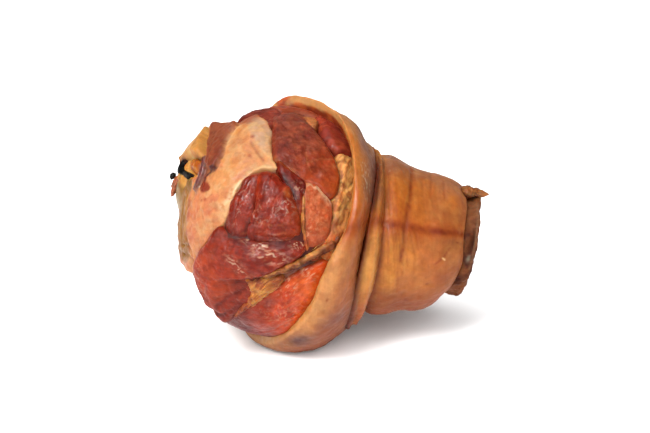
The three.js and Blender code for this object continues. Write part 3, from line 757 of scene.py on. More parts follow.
def meat_bed():
    """The whole mass of meat: fat, membranes and seams that show between the muscles."""
    around, rings = 350, 196
    turn = full_turn(around)
    arc = np.linspace(0, BED_ARC, rings)[:, None]
    pq = np.stack([arc * np.cos(turn), arc * np.sin(turn)], -1)
    base = on_face(pq, np.zeros(pq.shape[:-1]))
    near = pq + 0.8 * drift(base, 8, (51, 55))
    p, q = near[..., 0], near[..., 1]
    patch = layered(base, 12, 71, 3)
    fine = layered(base, 3.5, 75, 3)
    grainy = layered(base, 1.5, 79, 2)

    fat = inside(near, FAT_CAP, 0.9)
    strip = inside(near, BROWN_STRIP, 0.8)
    joint_fat = inside(near, JOINT_FAT, 2.6)
    hole = inside(near, HOLE, 1.2)
    cartilage = inside(near, CARTILAGE, 1.6) * (1 - 0.7 * smooth(-p + 3 * patch, 40, 56))
    grey = inside(near, GREY_FAT, 1.2)
    membrane = stroke(near, MEMBRANE, 2.3)
    veil_edge = stroke(near, VEIL_EDGE, 0.8)
    hole_rim = stroke(near, HOLE_RIM, 2.8)
    hole_edge = stroke(near, HOLE_EDGE, 0.7)
    under_rim = inside(near, UNDER_RIM, 3.0)
    behind = smooth(np.hypot(p - 10, q - 5), 84, 96)
    lift = 2.4 * inside(near, MUSCLE_GROUND, 3.0)
    for part in (
        5.0 * inside(near, LOBE_GROUND, 3.0),
        4.4 * fat,
        7.6 * under_rim,
        7.4 * strip,
        10.4 * joint_fat * (1 - 0.9 * smooth(-p, 44, 64)),
        6.4 * smooth(membrane, 0.2, 0.8),
        8.6 * smooth(hole_rim, 0.1, 0.8),
    ):
        lift = np.maximum(lift, part)
    fat_top = band(q, (45, 55), (66, 78)) * band(p, (-22, -6), (6, 14))
    lift += 2.4 * fat_top - 0.3 * cartilage - 3.0 * hole * (1 - hole_rim) + 0.8 * hole_edge
    lift += 0.5 * layered(base, 14, 61, 2) + 0.3 * layered(base, 5, 65, 3)
    lift += fat * (0.18 * grainy + 0.3 * noise(base, 2.6, 67) * smooth(patch, -0.3, 0.3))
    lift += raised(near, [
        (0.8, [(-6, 23), (-5, 18)], 2.2), (3.4, (-31, 50), (5, 4)), (4.0, (-46, 22), (5, 5)),
        (1.0, (6, 46), (12, 12)), (0.8, (-8, 8), (14, 10)), (0.8, [(21, 42), (26, 38), (30, 36)], 1.2),
        (0.6, [(29, 35), (22, 36), (16, 30)], 1.2), (-3.6, (-42, 0), (16, 22)),
        (-1.0, [(-22, 10), (-20, -4), (-18, -14)], 1.4),
    ])
    for line, depth, width in FURROWS:
        lift -= depth * stroke(near, line, width)
    rows = on_face(pq, lift)

    cream, orange, blood = "ebbd90", "dd9a5a", "a13a22"
    fat_tint = coats("e0a070", [
        (orange, 0.8, (-6, 51), (5, 10), -30),
        (orange, 0.6, (-2, 32), (10, 9)),
        ("d98e68", 0.9 * smooth(patch - 0.02 * q, -0.05, 0.45)),
        ("cf7f5c", 0.7 * smooth(layered(base, 7, 85, 3) - 0.02 * q, 0.15, 0.7)),
        ("cfaa90", 0.85 * grey * smooth(fine, -0.9, 0.2)),
        ("ddb890", 0.6 * grey * smooth(-fine, 0.0, 0.6)),
        ("c2866a", 0.6 * smooth(fine, 0.0, 0.6) * spot(near, (4, 43), (8, 5), -20)),
        (cream, 0.7 * spot(near, (-8, 42), (3, 5)) + 0.7 * spot(near, (11, 7), (4, 3))),
        (cream, 0.5 * smooth(-fine, 0.1, 0.6)),
        ("c4784e", 0.4 * patchy(base, 5, 83, 0.1, 0.6)),
        # the fat's cream edge, with a painted highlight along it
        ("f0cfa0", 0.5, [(29, 36), (22, 36), (16, 31), (14, 22), (13, 8)], 1.2),
        ("edbd8a", 0.7, [(20, 44), (25, 40), (30, 35)], 1.0),
        # painted highlight: a pale streak on the fat
        ("f4dcb8", 0.6 * stroke(near, [(10, 12), (13, 20), (16, 27)], 1.6) * smooth(grainy, -0.5, 0.3)),
        ("a85a40", 0.8 * smooth(-p + 2 * fine, 0, 8) * smooth(q, 53, 58)),
        ("cf7050", 0.6 * spot(near, (2, 8), (3, 2), 30) + 0.5 * spot(near, (-6, 3), (6, 4))),
        ("c8775a", 0.5 * spot(near, (-4, -8), (7, 3), 10) + 0.4 * spot(near, (-14, -6), (5, 6))),
        ("dfa984", 0.6, [(-16, -27), (-8, -26), (-4, -22)], 1.6),
        *[("a5532f", 0.5, line, 0.8) for line in FAT_SEAMS],
    ], near)
    joint_tint = mix("d89c56", "e4ba82", 0.7 * smooth(patch, -0.1, 0.5))
    joint_tint = mix(joint_tint, "b0733c", 0.5 * smooth(fine, 0.2, 0.7))
    strip_tint = mix("a3583a", "853c2a", 0.7 * smooth(fine, -0.1, 0.6))
    strip_tint = mix(strip_tint, "ae6444", 0.5 * smooth(q, 40, 54))
    streaks = layered(xyz((p + 0.5 * q) / 1.2, q / 9), 1.0, 87, 2)
    veil = np.clip(membrane * (1 + 0.5 * streaks), 0, 1)
    tint = coats(mix("a9693c", "9c4226", smooth(patch, -0.1, 0.5) * 0.6), [
        ("d9a06c", behind * patchy(base, 20, 77, -0.2, 0.4, 2)),
        # painted shade in the valleys between the muscles
        ("64201a", 0.9 * inside(near, SHADED_VALLEY, 3.0)),
        ("74281c", 0.8 * inside(near, SHADED_SEAM_VALLEY, 2.0)),
        ("b0563a", under_rim),
        (fat_tint, fat),
        *[(blood, 0.8, at, size) for at, size in BLOOD_ON_FAT],
        ("a87642", 0.95 * cartilage),
        ("86642e", 0.7 * cartilage * smooth(q + 4 * patch, 8, 16) * smooth(p, -44, -34)),
        ("b8905c", 0.4 * cartilage * stroke(near, [(-24, 8), (-23, 0), (-21, -10)], 2.2)),
        ("cf9040", 0.8, [(-18, 12), (-15.5, 3), (-14, -5)], 1.3),
        *[(blood, 0.6, at, (0.8, 1.4)) for at in BLOOD_BY_JOINT],
        (joint_tint, 0.95 * joint_fat),
        ("c27a4c", 0.9, (-26, 52), (5, 4)),
        (strip_tint, strip),
        ("6e3430", 0.8 * veil_edge),
        ("66303a", 0.95 * veil),
        # painted highlight along the membrane
        ("a8685c", 0.6, [(-26, 43), (-19, 37.5), (-14, 32)], 0.6),
        ("8d5058", 0.6, [(-14, 31), (-11.5, 25), (-12, 19)], 0.5),
        ("cf9a58", 0.9 * smooth(hole_rim, 0.3, 0.7) * (1 - hole)),
        ("2a1710", 0.9 * hole),
        (joint_tint, 0.97 * smooth(joint_fat, 0.02, 0.14)),
        ("5c2018", 0.9 * hole_edge),
        ("8e4434", 0.8, [(-10, 28), (-8, 22), (-6, 19)], 2.2),
        ("5c2a2c", 0.95, [(-3, 28), (-6, 26), (-7, 23), (-6, 21)], 0.9),
        ("9c4028", 0.95 * inside(near, RED_FLECK, 0.4)),
    ], near)
    tint = tint * (1 + 0.07 * grainy + 0.06 * fine)[..., None] * BED_TONE
    gloss = 0.4 + 0.25 * patch + 0.3 * veil - 0.15 * np.maximum(strip, cartilage)
    gloss += 0.3 * stroke(near, [(24, 35), (16, 28), (14, 10)], 1.2) - 0.5 * spot(near, (-27, 31), (10, 3))
    grain = xyz(q, p)
    return body("meat_bed", rows, tint, gloss, grain, soft_fat)


UPPER_SHARE = 0.82  # of a pad's rings are above its edge
ROOT_SHARE = 0.6  # of the rings below the edge go down into the meat, the rest close the pad
EDGE_LAP = 0.85  # times the distance in from a pad's edge, against its corner radius
ROOT_DEPTH = 7.0  # of a pad below the ellipsoid of meat


def pad(name, centre, outline, height, material, fibre, paint, relief=None, *, tones=None, rim=None,
        corner=3.5, dome=0.12, waist=0.15, grow=0.7, around=240, rings=76, ragged=0.7, rough=1.0,
        strands=0.2, grooves=0.06, tone=(1.0, 1.0, 1.0)):
    """A muscle or a piece of fat that lies on the mass of meat.

    Its edge is rounded to the corner radius and hangs over a little. tones are the two colours, seed
    and size that it starts from. paint(pq, points, tint) gives the colour and the gloss, or is a bare
    gloss, relief(pq, points) adds height, and rim is the colour and amount of painted shade on the edge."""
    ring = closed_curve(outline, around)
    middle = np.array(centre, float)
    tangent = np.roll(ring, -1, axis=0) - np.roll(ring, 1, axis=0)
    outward = np.stack([tangent[:, 1], -tangent[:, 0]], -1)
    outward /= np.linalg.norm(outward, axis=-1, keepdims=True)
    spin = np.sum(ring[:, 0] * np.roll(ring[:, 1], -1) - np.roll(ring[:, 0], -1) * ring[:, 1])
    ring = ring + outward * grow * (1 if spin > 0 else -1)

    upper = int(rings * UPPER_SHARE)
    out = 1 - (1 - np.linspace(0, 1, upper)) ** 1.7
    low = np.linspace(0, 1, rings - upper + 1)[1:]
    under = np.where(low < ROOT_SHARE, 1 - 0.1 * low / ROOT_SHARE, 0.9 * (1 - low) / (1 - ROOT_SHARE))
    flat_ring = middle + np.concatenate([out, under])[:, None, None] * (ring - middle)
    edge_line = np.concatenate([ring[::3], ring[:1]])
    to_edge = np.clip(away(flat_ring[:upper], edge_line) * EDGE_LAP / corner, 0, 1)
    full = np.sqrt(np.clip(1 - (1 - to_edge) ** 2, 0, 1)) * (1 - dome * out[:, None] ** 2)
    foot = waist - (waist + ROOT_DEPTH / height) * np.minimum(low / ROOT_SHARE, 1)
    stand = np.concatenate([waist + (1 - waist) * full, foot[:, None] * np.ones(around)])
    base = on_face(flat_ring, np.zeros(flat_ring.shape[:-1]))
    by_edge = np.concatenate([1 - 0.8 * to_edge, np.ones((rings - upper, around))])
    pq = flat_ring + ragged * drift(base, 5, (91, 95)) * by_edge[..., None]
    along, across = along_across(pq, math.radians(fibre))
    across = across + 1.6 * layered(base, 14, 97, 2)
    bundles = xyz(along / 10, across / 2.2, len(name))
    threads = xyz(along / 4, across / 0.9, len(name))
    shown = smooth(stand, 0.0, 0.5)
    texture = strands * (layered(bundles, 1.0, 109, 2) + 0.3 * noise(threads, 1.0, 111))
    lift = stand * height
    lift += shown * rough * (0.5 * layered(base, 12, 101, 2) + 0.22 * layered(base, 4.5, 105, 3))
    lift += shown * (texture + 0.1 * layered(base, 1.7, 113, 2))
    if relief:
        lift += shown * relief(pq, base)
    rows = on_face(pq, lift)
    grain = xyz(along, across, lift)
    tint = two_tone(base, *tones) if tones else None
    tint, gloss = paint(pq, base, tint) if callable(paint) else (tint, paint)
    # painted shade down the sides and under the edge, where the pad meets the meat
    if rim:
        tint = mix(tint, rim[0], rim[1] * (1 - smooth(stand, 0.1, 0.7)))
    mottled = 1 + 0.15 * layered(base, 2.2, 117, 3) + 0.09 * noise(base, 0.9, 119)
    mottled += grooves * (layered(bundles, 1.0, 121, 2) + noise(threads, 1.0, 123))
    tint = tint * mottled[..., None] * MEAT_TONE * np.array(tone)
    return body(name, rows, tint, gloss, grain, material)


def lift_out(pq):
    """Points of the face map with a height of nothing, for noise."""
    return xyz(pq[..., 0], pq[..., 1])


def glints(pq, seed, length=1.4, width=0.7, lean=0.0, low=0.25, high=0.6):
    """A mask of small broken glints, stretched along a lean in radians from the level, for painted
    highlights and gloss.
    """
    along, across = along_across(pq + 0.9 * drift(lift_out(pq), 1.8, (seed + 1, seed + 2), 1), lean)
    return patchy(xyz(along / length, across / width), 1.0, seed, low, high, 2)


def upper_muscle():
    """The broad brown muscle at the top of the cut end."""
    outline = [(4, 64), (12, 57), (18, 49), (23, 41), (27, 39), (33, 37), (41, 34), (49, 33), (54, 31),
               (60, 30), (62, 36), (60, 43), (57, 50), (52, 58), (45, 63), (34, 71), (27, 75), (20, 79),
               (12, 86), (0, 90), (-4, 82), (-2, 72)]

    def paint(pq, points, tint):
        right = smooth(pq[..., 0] + 0.35 * (60 - pq[..., 1]) + 5 * noise(points, 10, 203), 34, 58)
        purple = spot(pq, (10, 74), (18, 15)) * smooth(noise(points, 6, 204) + 0.3, -0.4, 0.5)
        bloom = spot(pq, (12, 76), (16, 13)) * patchy(points, 2.4, 205, -0.1, 0.6)
        wet = raised(pq, [(1, (34, 52), (10, 6), -50), (1, (52, 44), (4, 7))])
        painted_sheen = glints(pq, 198, 1.6, 0.8, 0.7) * wet
        tint = coats(tint, [
            ("ae5230", right),
            ("c06434", 0.8, (58, 38), (6, 8)),
            ("864c4c", 0.7 * purple),
            ("b07868", 0.6 * bloom),
            ("bd6a50", 0.35 * patchy(points, 4, 202, 0.1, 0.7)),
            ("6c2a22", 0.35 * patchy(points, 4, 202, -0.2, -0.8)),
            ("a8683c", 0.8, [(24, 42), (29, 39), (36, 38)], 1.0),
            ("c48a66", 0.45, [(40, 46), (45, 52), (50, 55)], 0.45),
            ("c08060", 0.35, [(36, 52), (40, 45), (44, 41)], 0.4),
            ("d9a27c", 0.5, (53, 50), (0.9, 2.2), 20),
            ("702a1c", 0.4, [(14, 62), (24, 60), (32, 62)], 1.0),
            # painted highlight: pale glints
            ("c98a70", 0.3 * painted_sheen),
        ], pq)
        return tint, 0.5 + 0.15 * right + 0.25 * noise(points, 6, 207)

    def relief(pq, points):
        return 0.3 * layered(points, 5, 200, 2) - 0.16 * np.abs(layered(points, 2.2, 206, 2)) + raised(pq, [
            (1.0, (12, 72), (12, 10)), (1.4, (56, 40), (7, 9)), (0.6, (34, 60), (10, 8)),
            (-0.5, [(44, 36), (48, 44), (46, 54)], 1.6), (-0.4, [(26, 66), (32, 60), (36, 50)], 1.6),
            (-0.4, [(10, 66), (18, 62)], 1.2),
        ])

    return pad("upper_muscle", (30, 56), outline, 6.2, dry_muscle, 60, paint, relief, corner=3.0,
               strands=0.08, rough=0.7, grooves=0.03, tones=("893c2e", "98503f", 201, 6),
               rim=("6c2a1a", 0.5))


def seam_muscle():
    """The brown tissue in the seam above the round muscle."""
    outline = [(25, 42), (29, 42), (35, 39), (42, 36), (46, 32), (46, 26), (49, 19), (46, 14), (44, 18),
               (40, 24), (36, 28), (30, 34)]

    def paint(pq, points, tint):
        shine = glints(pq, 207, 1.2, 0.7, 0.9) * spot(pq, (42, 28), (5, 5))
        tint = coats(tint, [
            ("a8642e", 0.7, [(26, 41), (33, 38.5), (38, 37)], 0.9),
            # painted shade in the crevice against the round muscle
            ("4c1812", 0.7, [(33, 33), (38, 29), (42, 24)], 1.0),
            # painted highlight: pale glints
            (PAINTED_WET_HIGHLIGHT, 0.4 * shine),
            ("b4643c", 0.6 * smooth(pq[..., 0] - 0.2 * pq[..., 1], 38, 42)),
        ], pq)
        return tint, 0.55 + 0.3 * noise(points, 3, 209) + 0.3 * shine

    return pad("seam_muscle", (39, 32), outline, 7.0, wet_muscle, -30, paint, corner=2.2, around=200,
               rings=60, dome=0.3, tones=("88352a", "782a1e", 208, 3), rim=("4a1a10", 0.4),
               tone=(0.97, 0.73, 0.54))


def fat_triangle():
    """The small wedge of fat between the upper muscle and the collar's."""
    outline = [(13, 80), (18, 86), (26, 79), (29, 72), (22, 74)]
    return pad("fat_triangle", (21, 79), outline, 6.8, sinew, 50, 0.4, corner=2.0, around=140, rings=50,
               tones=("bd8259", "9c5a3c", 210, 3), rim=("74382a", 0.5))


def collar_muscle():
    """The dark red muscle that runs on under the collar."""
    outline = [(12, 91), (16, 104), (30, 114), (50, 112), (66, 98), (70, 80), (64, 69), (52, 64),
               (44, 66), (33, 74), (24, 82)]

    def paint(pq, points, tint):
        frost = spot(pq, (46, 90), (12, 10), 30) * smooth(noise(points, 1.6, 212), -0.1, 0.5)
        tint = coats(tint, [
            ("bb7862", 0.4 * frost),
            ("b8603a", 0.6, (50, 70), (7, 4)),
            # painted shade in the gap against the rim
            ("4c1c18", 0.85, [(40, 106), (54, 98), (62, 86), (64, 74)], 1.3),
        ], pq)
        return tint, 0.45 + 0.25 * noise(points, 5, 213)

    return pad("collar_muscle", (38, 88), outline, 8.6, dry_muscle, 20, paint, strands=0.14, rough=0.7,
               grooves=0.04, tones=("9e4432", "ae5236", 211, 4), rim=("5a2216", 0.6), tone=(0.9, 0.9, 1.3))


def rear_muscle():
    """The muscle behind the pale fat, on the skyline."""
    outline = [(-20, 59), (-11, 60), (1, 59), (9, 57), (9, 64), (8, 70), (-2, 78), (-12, 80), (-20, 76),
               (-24, 68)]

    def paint(pq, points, tint):
        return tint, 0.4 + 0.3 * noise(points, 5, 223)

    def relief(pq, points):
        return -1.8 * spot(pq, (2, 66), (6, 6))

    return pad("rear_muscle", (-8, 70), outline, 7.4, dry_muscle, 10, paint, relief,
               tones=("9c4a3c", "7e362c", 221), rim=("54201a", 0.4), tone=(0.97, 1.06, 1.2))


def narrow_muscle():
    """The left one of the two wet lobes in the middle."""
    outline = [(17, 28), (21, 31), (25, 30), (26, 22), (28, 16), (28, 8), (27, 0), (22, -4), (16, -3),
               (14, 4), (14, 14), (15, 22)]

    def paint(pq, points, tint):
        shine = glints(pq, 234, 0.8, 1.6) * spot(pq, (20, 15), (3.4, 11))
        tint = coats(tint, [
            ("7a2c22", 0.5, (17, 8), (2, 7)),
            ("b8743e", 0.5, [(23, 2), (25.5, 3)], 0.5),
            # painted shade in the crevice against the round muscle
            ("561c12", 0.7, [(27, 22), (27, 12), (25, 4)], 1.0),
            # painted shade at the foot, where it sinks to the valley
            ("6e241a", 0.8 * smooth(-pq[..., 1], -6, 1)),
            # painted highlight: pale glints
            (PAINTED_WET_HIGHLIGHT, 0.28 * shine),
        ], pq)
        return tint, 0.5 + 0.4 * shine + 0.2 * noise(points, 4, 235)

    def relief(pq, points):
        groove = stroke(pq, [(19, 28), (18, 16), (20, 5)], 0.7)
        return 0.25 * layered(points, 2.2, 236, 3) - 3.6 * smooth(-pq[..., 1], -10, 4) - 0.4 * groove

    return pad("narrow_muscle", (20, 14), outline, 8.2, wet_muscle, 88, paint, relief, waist=0.3,
               around=230, corner=4, rough=0.6, strands=0.1, grooves=0.03,
               tones=("913a2a", "a04534", 231, 3), rim=("54170e", 0.4), tone=(0.93, 0.76, 0.63))


def round_muscle():
    """The right one of the two wet lobes in the middle."""
    outline = [(22, 31), (26, 34), (32, 32), (38, 29), (41, 25), (45, 19), (48, 13), (49, 6), (44, -1),
               (36, -4), (29, -6), (25, -2), (24, 10), (26, 16), (23, 24)]

    def paint(pq, points, tint):
        p, q = pq[..., 0], pq[..., 1]
        broken = smooth(noise(points, 2, 244), -0.3, 0.4)
        shine = glints(pq, 246, 0.9, 1.3) * raised(pq, [(1, (40, 19), (3.6, 6)), (0.7, (31, 14), (5, 8))])
        shine += glints(pq, 247, 2.0, 0.7, 0.1) * 0.6 * spot(pq, (40, 4), (8, 3))
        tint = coats(tint, [
            # painted shade in the groove
            ("7c2a1e", 0.5, [(28, 30), (29, 18), (28, 6)], 1.0),
            ("c08050", 0.85, (38, 25), (2.4, 1.4), -50),
            ("b6623e", 0.6 * smooth(p + 4 * noise(points, 5, 243), 38, 47)),
            # painted shade at the foot, where it sinks to the valley
            ("6a221a", 0.85 * smooth(-q + 0.1 * p, -2, 4)),
            # pale tan lines on the crests of the lower folds, with a painted highlight
            ("c07a58", 0.5 * broken, [(30, 9), (37, 9), (45, 12)], 0.5),
            ("c07a58", 0.5 * broken, [(38, 5), (43, 7), (47, 9)], 0.5),
            ("c07a58", 0.6 * broken, [(34, 1), (42, 2), (48, 5)], 0.5),
            # painted highlight: pale glints
            (PAINTED_WET_HIGHLIGHT, 0.4 * shine),
        ], pq)
        return tint, 0.5 + 0.4 * shine + 0.2 * noise(points, 4, 245)

    def relief(pq, points):
        foot = smooth(-pq[..., 1] + 0.1 * pq[..., 0], -7, 6)
        return 0.25 * layered(points, 2.2, 248, 3) - 4.4 * foot + raised(pq, [
            (-0.5, (30, 11), (5, 7)), (0.9, (38, 19), (4, 7)), (0.5, (28, 28), (5, 5)),
            (-0.4, [(29, 33), (28, 22), (28, 8)], 0.8), (-0.4, [(36, 29), (34, 18), (34, 6)], 0.8),
            (-0.6, [(26, 8), (34, 7.4), (46, 10)], 0.8), (-0.7, [(30, 3), (38, 3.4), (47, 6)], 0.8),
        ])

    return pad("round_muscle", (35, 14), outline, 9.6, wet_muscle, 86, paint, relief, waist=0.3, corner=5,
               rough=0.7, strands=0.1, grooves=0.03, around=300, rings=88,
               tones=("973c2a", "a64a35", 241, 3), rim=("54170e", 0.4), tone=(0.91, 0.73, 0.6))


def pale_sinew():
    """The pale line between the round muscle and the salmon cut."""
    outline = [(44.8, 27), (46.2, 27), (48.4, 20), (50.6, 12), (52.6, 5), (54.4, -1), (53.2, -1), (51, 5),
               (48.8, 11.4), (46.6, 19)]

    def paint(pq, points, tint):
        return mix(tint, "b0543a", 0.6 * smooth(-pq[..., 1] + 2 * noise(points, 2, 249), -10, -3)), 0.5

    return pad("pale_sinew", (49.4, 13), outline, 7.0, sinew, 105, paint, corner=1.4, around=180, rings=44,
               rough=1.3, ragged=1.0, strands=0.1, tones=("c4935f", "9e6440", 246, 2), rim=("8a4a2a", 0.4))


def salmon_cut():
    """The matt, salmon-coloured end of a cut muscle."""
    outline = [(44, 34), (49, 35), (55, 32), (60, 29), (62.5, 22), (63.5, 12), (62, 2), (60, -6),
               (53, -5), (51, 2), (50, 10), (48, 18), (45, 26)]

    def paint(pq, points, tint):
        q = pq[..., 1]
        shine = glints(pq, 254, 0.9, 0.8) * raised(pq, [(1, (52, 4), (2.4, 8)), (0.5, (56, 14), (4, 10))])
        frost = smooth(noise(points, 1.4, 253), -0.6, 0.2)
        tint = coats(tint, [
            ("e6ac8a", 0.22 * patchy(points, 1.2, 252, 0.1, 0.6, 2)),
            ("ecc8b4", 0.8 * frost, [(46, 33), (49, 33.6), (55, 30.5), (59, 27.5)], 1.8),
            ("b25032", 0.7 * smooth(-q, -12, -2)),
            ("9c4426", 0.7 * smooth(-q, -3, 3)),
            ("a8553a", 0.5 * smooth(pq[..., 0], 58, 63)),
            # painted highlight: pale glints
            ("f0cdb4", 0.35 * shine),
        ], pq)
        return tint, 0.45 + 0.3 * shine + 0.2 * noise(points, 4, 255)

    def relief(pq, points):
        return 0.08 * layered(points, 1.2, 252, 2) - 1.4 * smooth(-pq[..., 1], -12, 4)

    return pad("salmon_cut", (55, 15), outline, 6.2, dry_muscle, 75, paint, relief, corner=2.0, dome=0.05,
               rough=0.5, around=230, strands=0.05, grooves=0.02, tones=("c8683f", "d27c56", 251, 3),
               rim=("8c4a2c", 0.3), tone=(0.86, 0.9, 0.96))


def fat_band():
    """Torn yellow fat between the muscles and the rim of the collar."""
    outline = [(50, 67), (60, 84), (72, 68), (79, 48), (80, 30), (77, 10), (70, -6), (62, -4), (60, 4),
               (63, 16), (61, 30), (60, 42), (55, 56)]

    def lines(pq, width, seed):
        bent = pq[..., 0] + 1.2 * noise(lift_out(pq), 5, seed + 3)
        return layered(xyz(bent / width, pq[..., 1] / 9), 1.0, seed, 3)

    def paint(pq, points, tint):
        broad, thin = lines(pq, 3.6, 257), lines(pq, 1.0, 258)
        low = 1 - smooth(pq[..., 1] + 4 * noise(points, 6, 259), 6, 26)
        tint = coats(mix("dcae7a", "bd8050", 0.7 * smooth(broad, 0.0, 0.6)), [
            ("bc6638", 0.7 * low),
            ("ecd0a0", 0.45 * smooth(-thin, 0.1, 0.7)),
            ("985430", 0.35 * smooth(thin, 0.25, 0.7)),
            ("96502f", 0.6 * patchy(points, 3, 256, 0.2, 0.7)),
            ("74341f", raised(pq, [(0.7, (65, 16), (1.8, 6)), (0.5, (68, 26), (1.4, 5))])),
            ("8a3c22", 0.8, [(76, 52), (77, 36), (75, 18), (71, 4)], 0.9),
        ], pq)
        return tint, 0.4 + 0.2 * broad

    def relief(pq, points):
        torn = 0.5 * layered(points, 3.0, 260, 3) * (1 - smooth(pq[..., 1], 20, 44))
        return 0.5 * lines(pq, 3.6, 257) + 0.12 * lines(pq, 1.0, 258) - 0.02 * (pq[..., 0] - 60) + torn

    return pad("fat_band", (66, 34), outline, 6.4, sinew, 90, paint, relief, corner=3, strands=0.04,
               grooves=0.02, rim=("8a4c2a", 0.3), tone=(1.12, 1.08, 1.08))


def broad_muscle():
    """The big muscle under the two wet lobes, that runs down to the left."""
    outline = [(16, 2), (24, 2), (32, 1), (38, 4), (45, 8), (50, 7), (53, 2), (52, -3), (47, -8),
               (42, -11.5), (37, -15.5), (35, -19), (35, -24), (31, -31), (24, -39), (17, -44), (9, -51),
               (4, -49), (-1, -43), (-2, -36), (-4, -28), (-3, -19), (1, -12), (6, -6), (10, 2)]

    def paint(pq, points, tint):
        p, q = pq[..., 0], pq[..., 1]
        above = smooth(q + 0.1 * p + 2 * noise(points, 6, 262), -19, -12)
        below = 0.25 * p - q
        shade = band(below, (25.2, 27), (27.5, 34)) * smooth(p, 6, 22)
        wet = raised(pq, [
            (1, (31, -0.8), (6, 1.3), -4), (1, (38, -5.4), (8, 2.6), -8), (0.8, (24, -13), (6, 2.0), -38),
        ])
        shine = glints(pq, 266, 2.6, 0.8, -0.1, 0.0, 0.45) * wet
        shine += glints(pq, 268, 0.9, 0.9) * raised(pq, [(1.1, (49, 4), (3.4, 4)), (0.4, (2, -26), (3, 10))])
        tint = coats(tint, [
            (two_tone(points, "8c3628", "9c4836", 261, 4), above * smooth(p, 8, 22)),
            # painted shade in the valley under the two lobes
            ("5e1c16", raised(pq, [(0.8, (37, 2), (12, 3.4)), (0.6, (22, -1), (6, 2))])),
            ("b4583a", smooth(p + 4 * noise(points, 6, 263), 48, 60)),
            ("7a2e22", 0.6, (10, -2), (5, 5)),
            ("6e2a1c", 0.6 * shade),
            ("74302a", 0.8, [(8, -39), (16, -32), (25, -26)], 1.8),
            ("6e302c", 0.7, [(5, -46), (14, -42), (22, -35)], 1.4),
            ("883a30", 0.7, (20, -36), (9, 6), 40),
            ("b87c50", 0.8, [(2, -45), (8, -49), (16, -44), (24, -37), (31, -30)], 0.7),
            ("b9603e", 0.5, (12, -28), (7, 4), 30),
            # painted highlight: pale glints on the wet patches
            (PAINTED_WET_HIGHLIGHT, np.clip(0.9 * shine, 0, 0.9)),
            # painted sheen: a faint pale haze over the wet patches
            ("a8706a", 0.06 * wet),
            ("7a2e24", 0.5 * smooth(p - q, 56, 62) * (1 - smooth(p, 22, 28))),
        ], pq)
        border = stroke(pq, [(-4, -24), (-2, -36), (2, -42), (7, -47), (14, -48), (22, -42)], 4)
        gloss = 0.45 + 0.4 * np.clip(shine + 0.15 * wet, 0, 1) + 0.15 * noise(points, 5, 265)
        gloss -= 0.4 * border + 0.4 * spot(pq, (37, 3), (12, 3))
        gloss -= 0.35 * smooth(-p, -18, -6) * smooth(-q, 8, 20)
        return tint * (1 - border[..., None] * np.array([0.2, 0.45, 0.45])), gloss

    def relief(pq, points):
        p, q = pq[..., 0], pq[..., 1]
        shelf = smooth(0.25 * p - q - 0.4 * noise(points, 4, 267), 24.0, 26.4) * smooth(p, 6, 24)
        hollow = smooth(q - 0.12 * p, -10, 3) * smooth(p, 8, 20)
        return 0.15 * layered(points, 2.4, 269, 3) - 3.4 * shelf - 4.2 * hollow + raised(pq, [
            (1.4, (32, -10), (12, 4)), (-0.8, (20, 1), (5, 3)),
            (-0.45, [(18, -5), (30, -4), (42, -3), (50, 1)], 0.9),
            (-0.45, [(20, -9), (32, -10), (42, -7)], 0.9), (-0.45, [(16, -1), (28, -2), (40, -1)], 0.9),
            (-0.9, [(10, -38), (18, -31), (26, -26)], 1.2), (-0.6, [(6, -46), (16, -40)], 1.0),
            (-0.6, [(17, -24), (18, -29), (12, -33)], 1.0),
            (-0.5, [(2, -34), (6, -24), (12, -16)], 1.2), (0.9, (6, -22), (7, 8)), (-2.0, (3, -44), (5, 2)),
        ])

    return pad("broad_muscle", (22, -16), outline, 8.6, wet_muscle, -8, paint, relief, corner=3.0,
               waist=0.35, around=360, rings=96, rough=0.7, strands=0.1, grooves=0.03,
               tones=("a04a34", "ac5a42", 271, 5), rim=("4e180e", 0.3), tone=(1.0, 0.73, 0.54))


def torn_lip():
    """The torn tan edge that hangs from the fat band along the foot of the broad muscle."""
    outline = [(68, 12), (64, 7), (60, 2.5), (57, -1), (53, -4), (47, -7.4), (42, -10.6), (36, -14),
               (30, -16.4), (24, -17.6), (30, -18.8), (37, -17.8), (43, -15.4), (48, -12.4), (54, -8.2),
               (60, -4.2), (66, 0), (70, 5)]

    def along_top(pq):
        return stroke(pq, [(62, 6), (58, 1), (54, -3.4), (47, -8), (42, -11.2), (36, -14.6)], 1.7)

    def paint(pq, points, tint):
        upper = along_top(pq)
        tint = coats(tint, [
            (two_tone(points, "c08c58", "a86c44", 278, 2.4), upper),
            ("d4a874", 0.5 * upper * patchy(points, 1.4, 275, 0.1, 0.6)),
            ("5a2418", 0.6 * patchy(points, 2.6, 279, -0.2, -0.7) * (1 - upper)),
            ("8e4230", 0.6 * smooth(-pq[..., 0], -38, -26)),
        ])
        return tint, 0.4 + 0.2 * noise(points, 3, 277)

    def relief(pq, points):
        return 0.7 * layered(points, 2.4, 280, 3) - 1.2 * (1 - along_top(pq))

    return pad("torn_lip", (48, -10), outline, 8.6, sinew, 30, paint, relief, corner=1.8, around=290,
               rings=64, ragged=1.0, grow=0.2, strands=0.15, tones=("7c4630", "94583a", 276, 3),
               rim=("3c140c", 0.7))


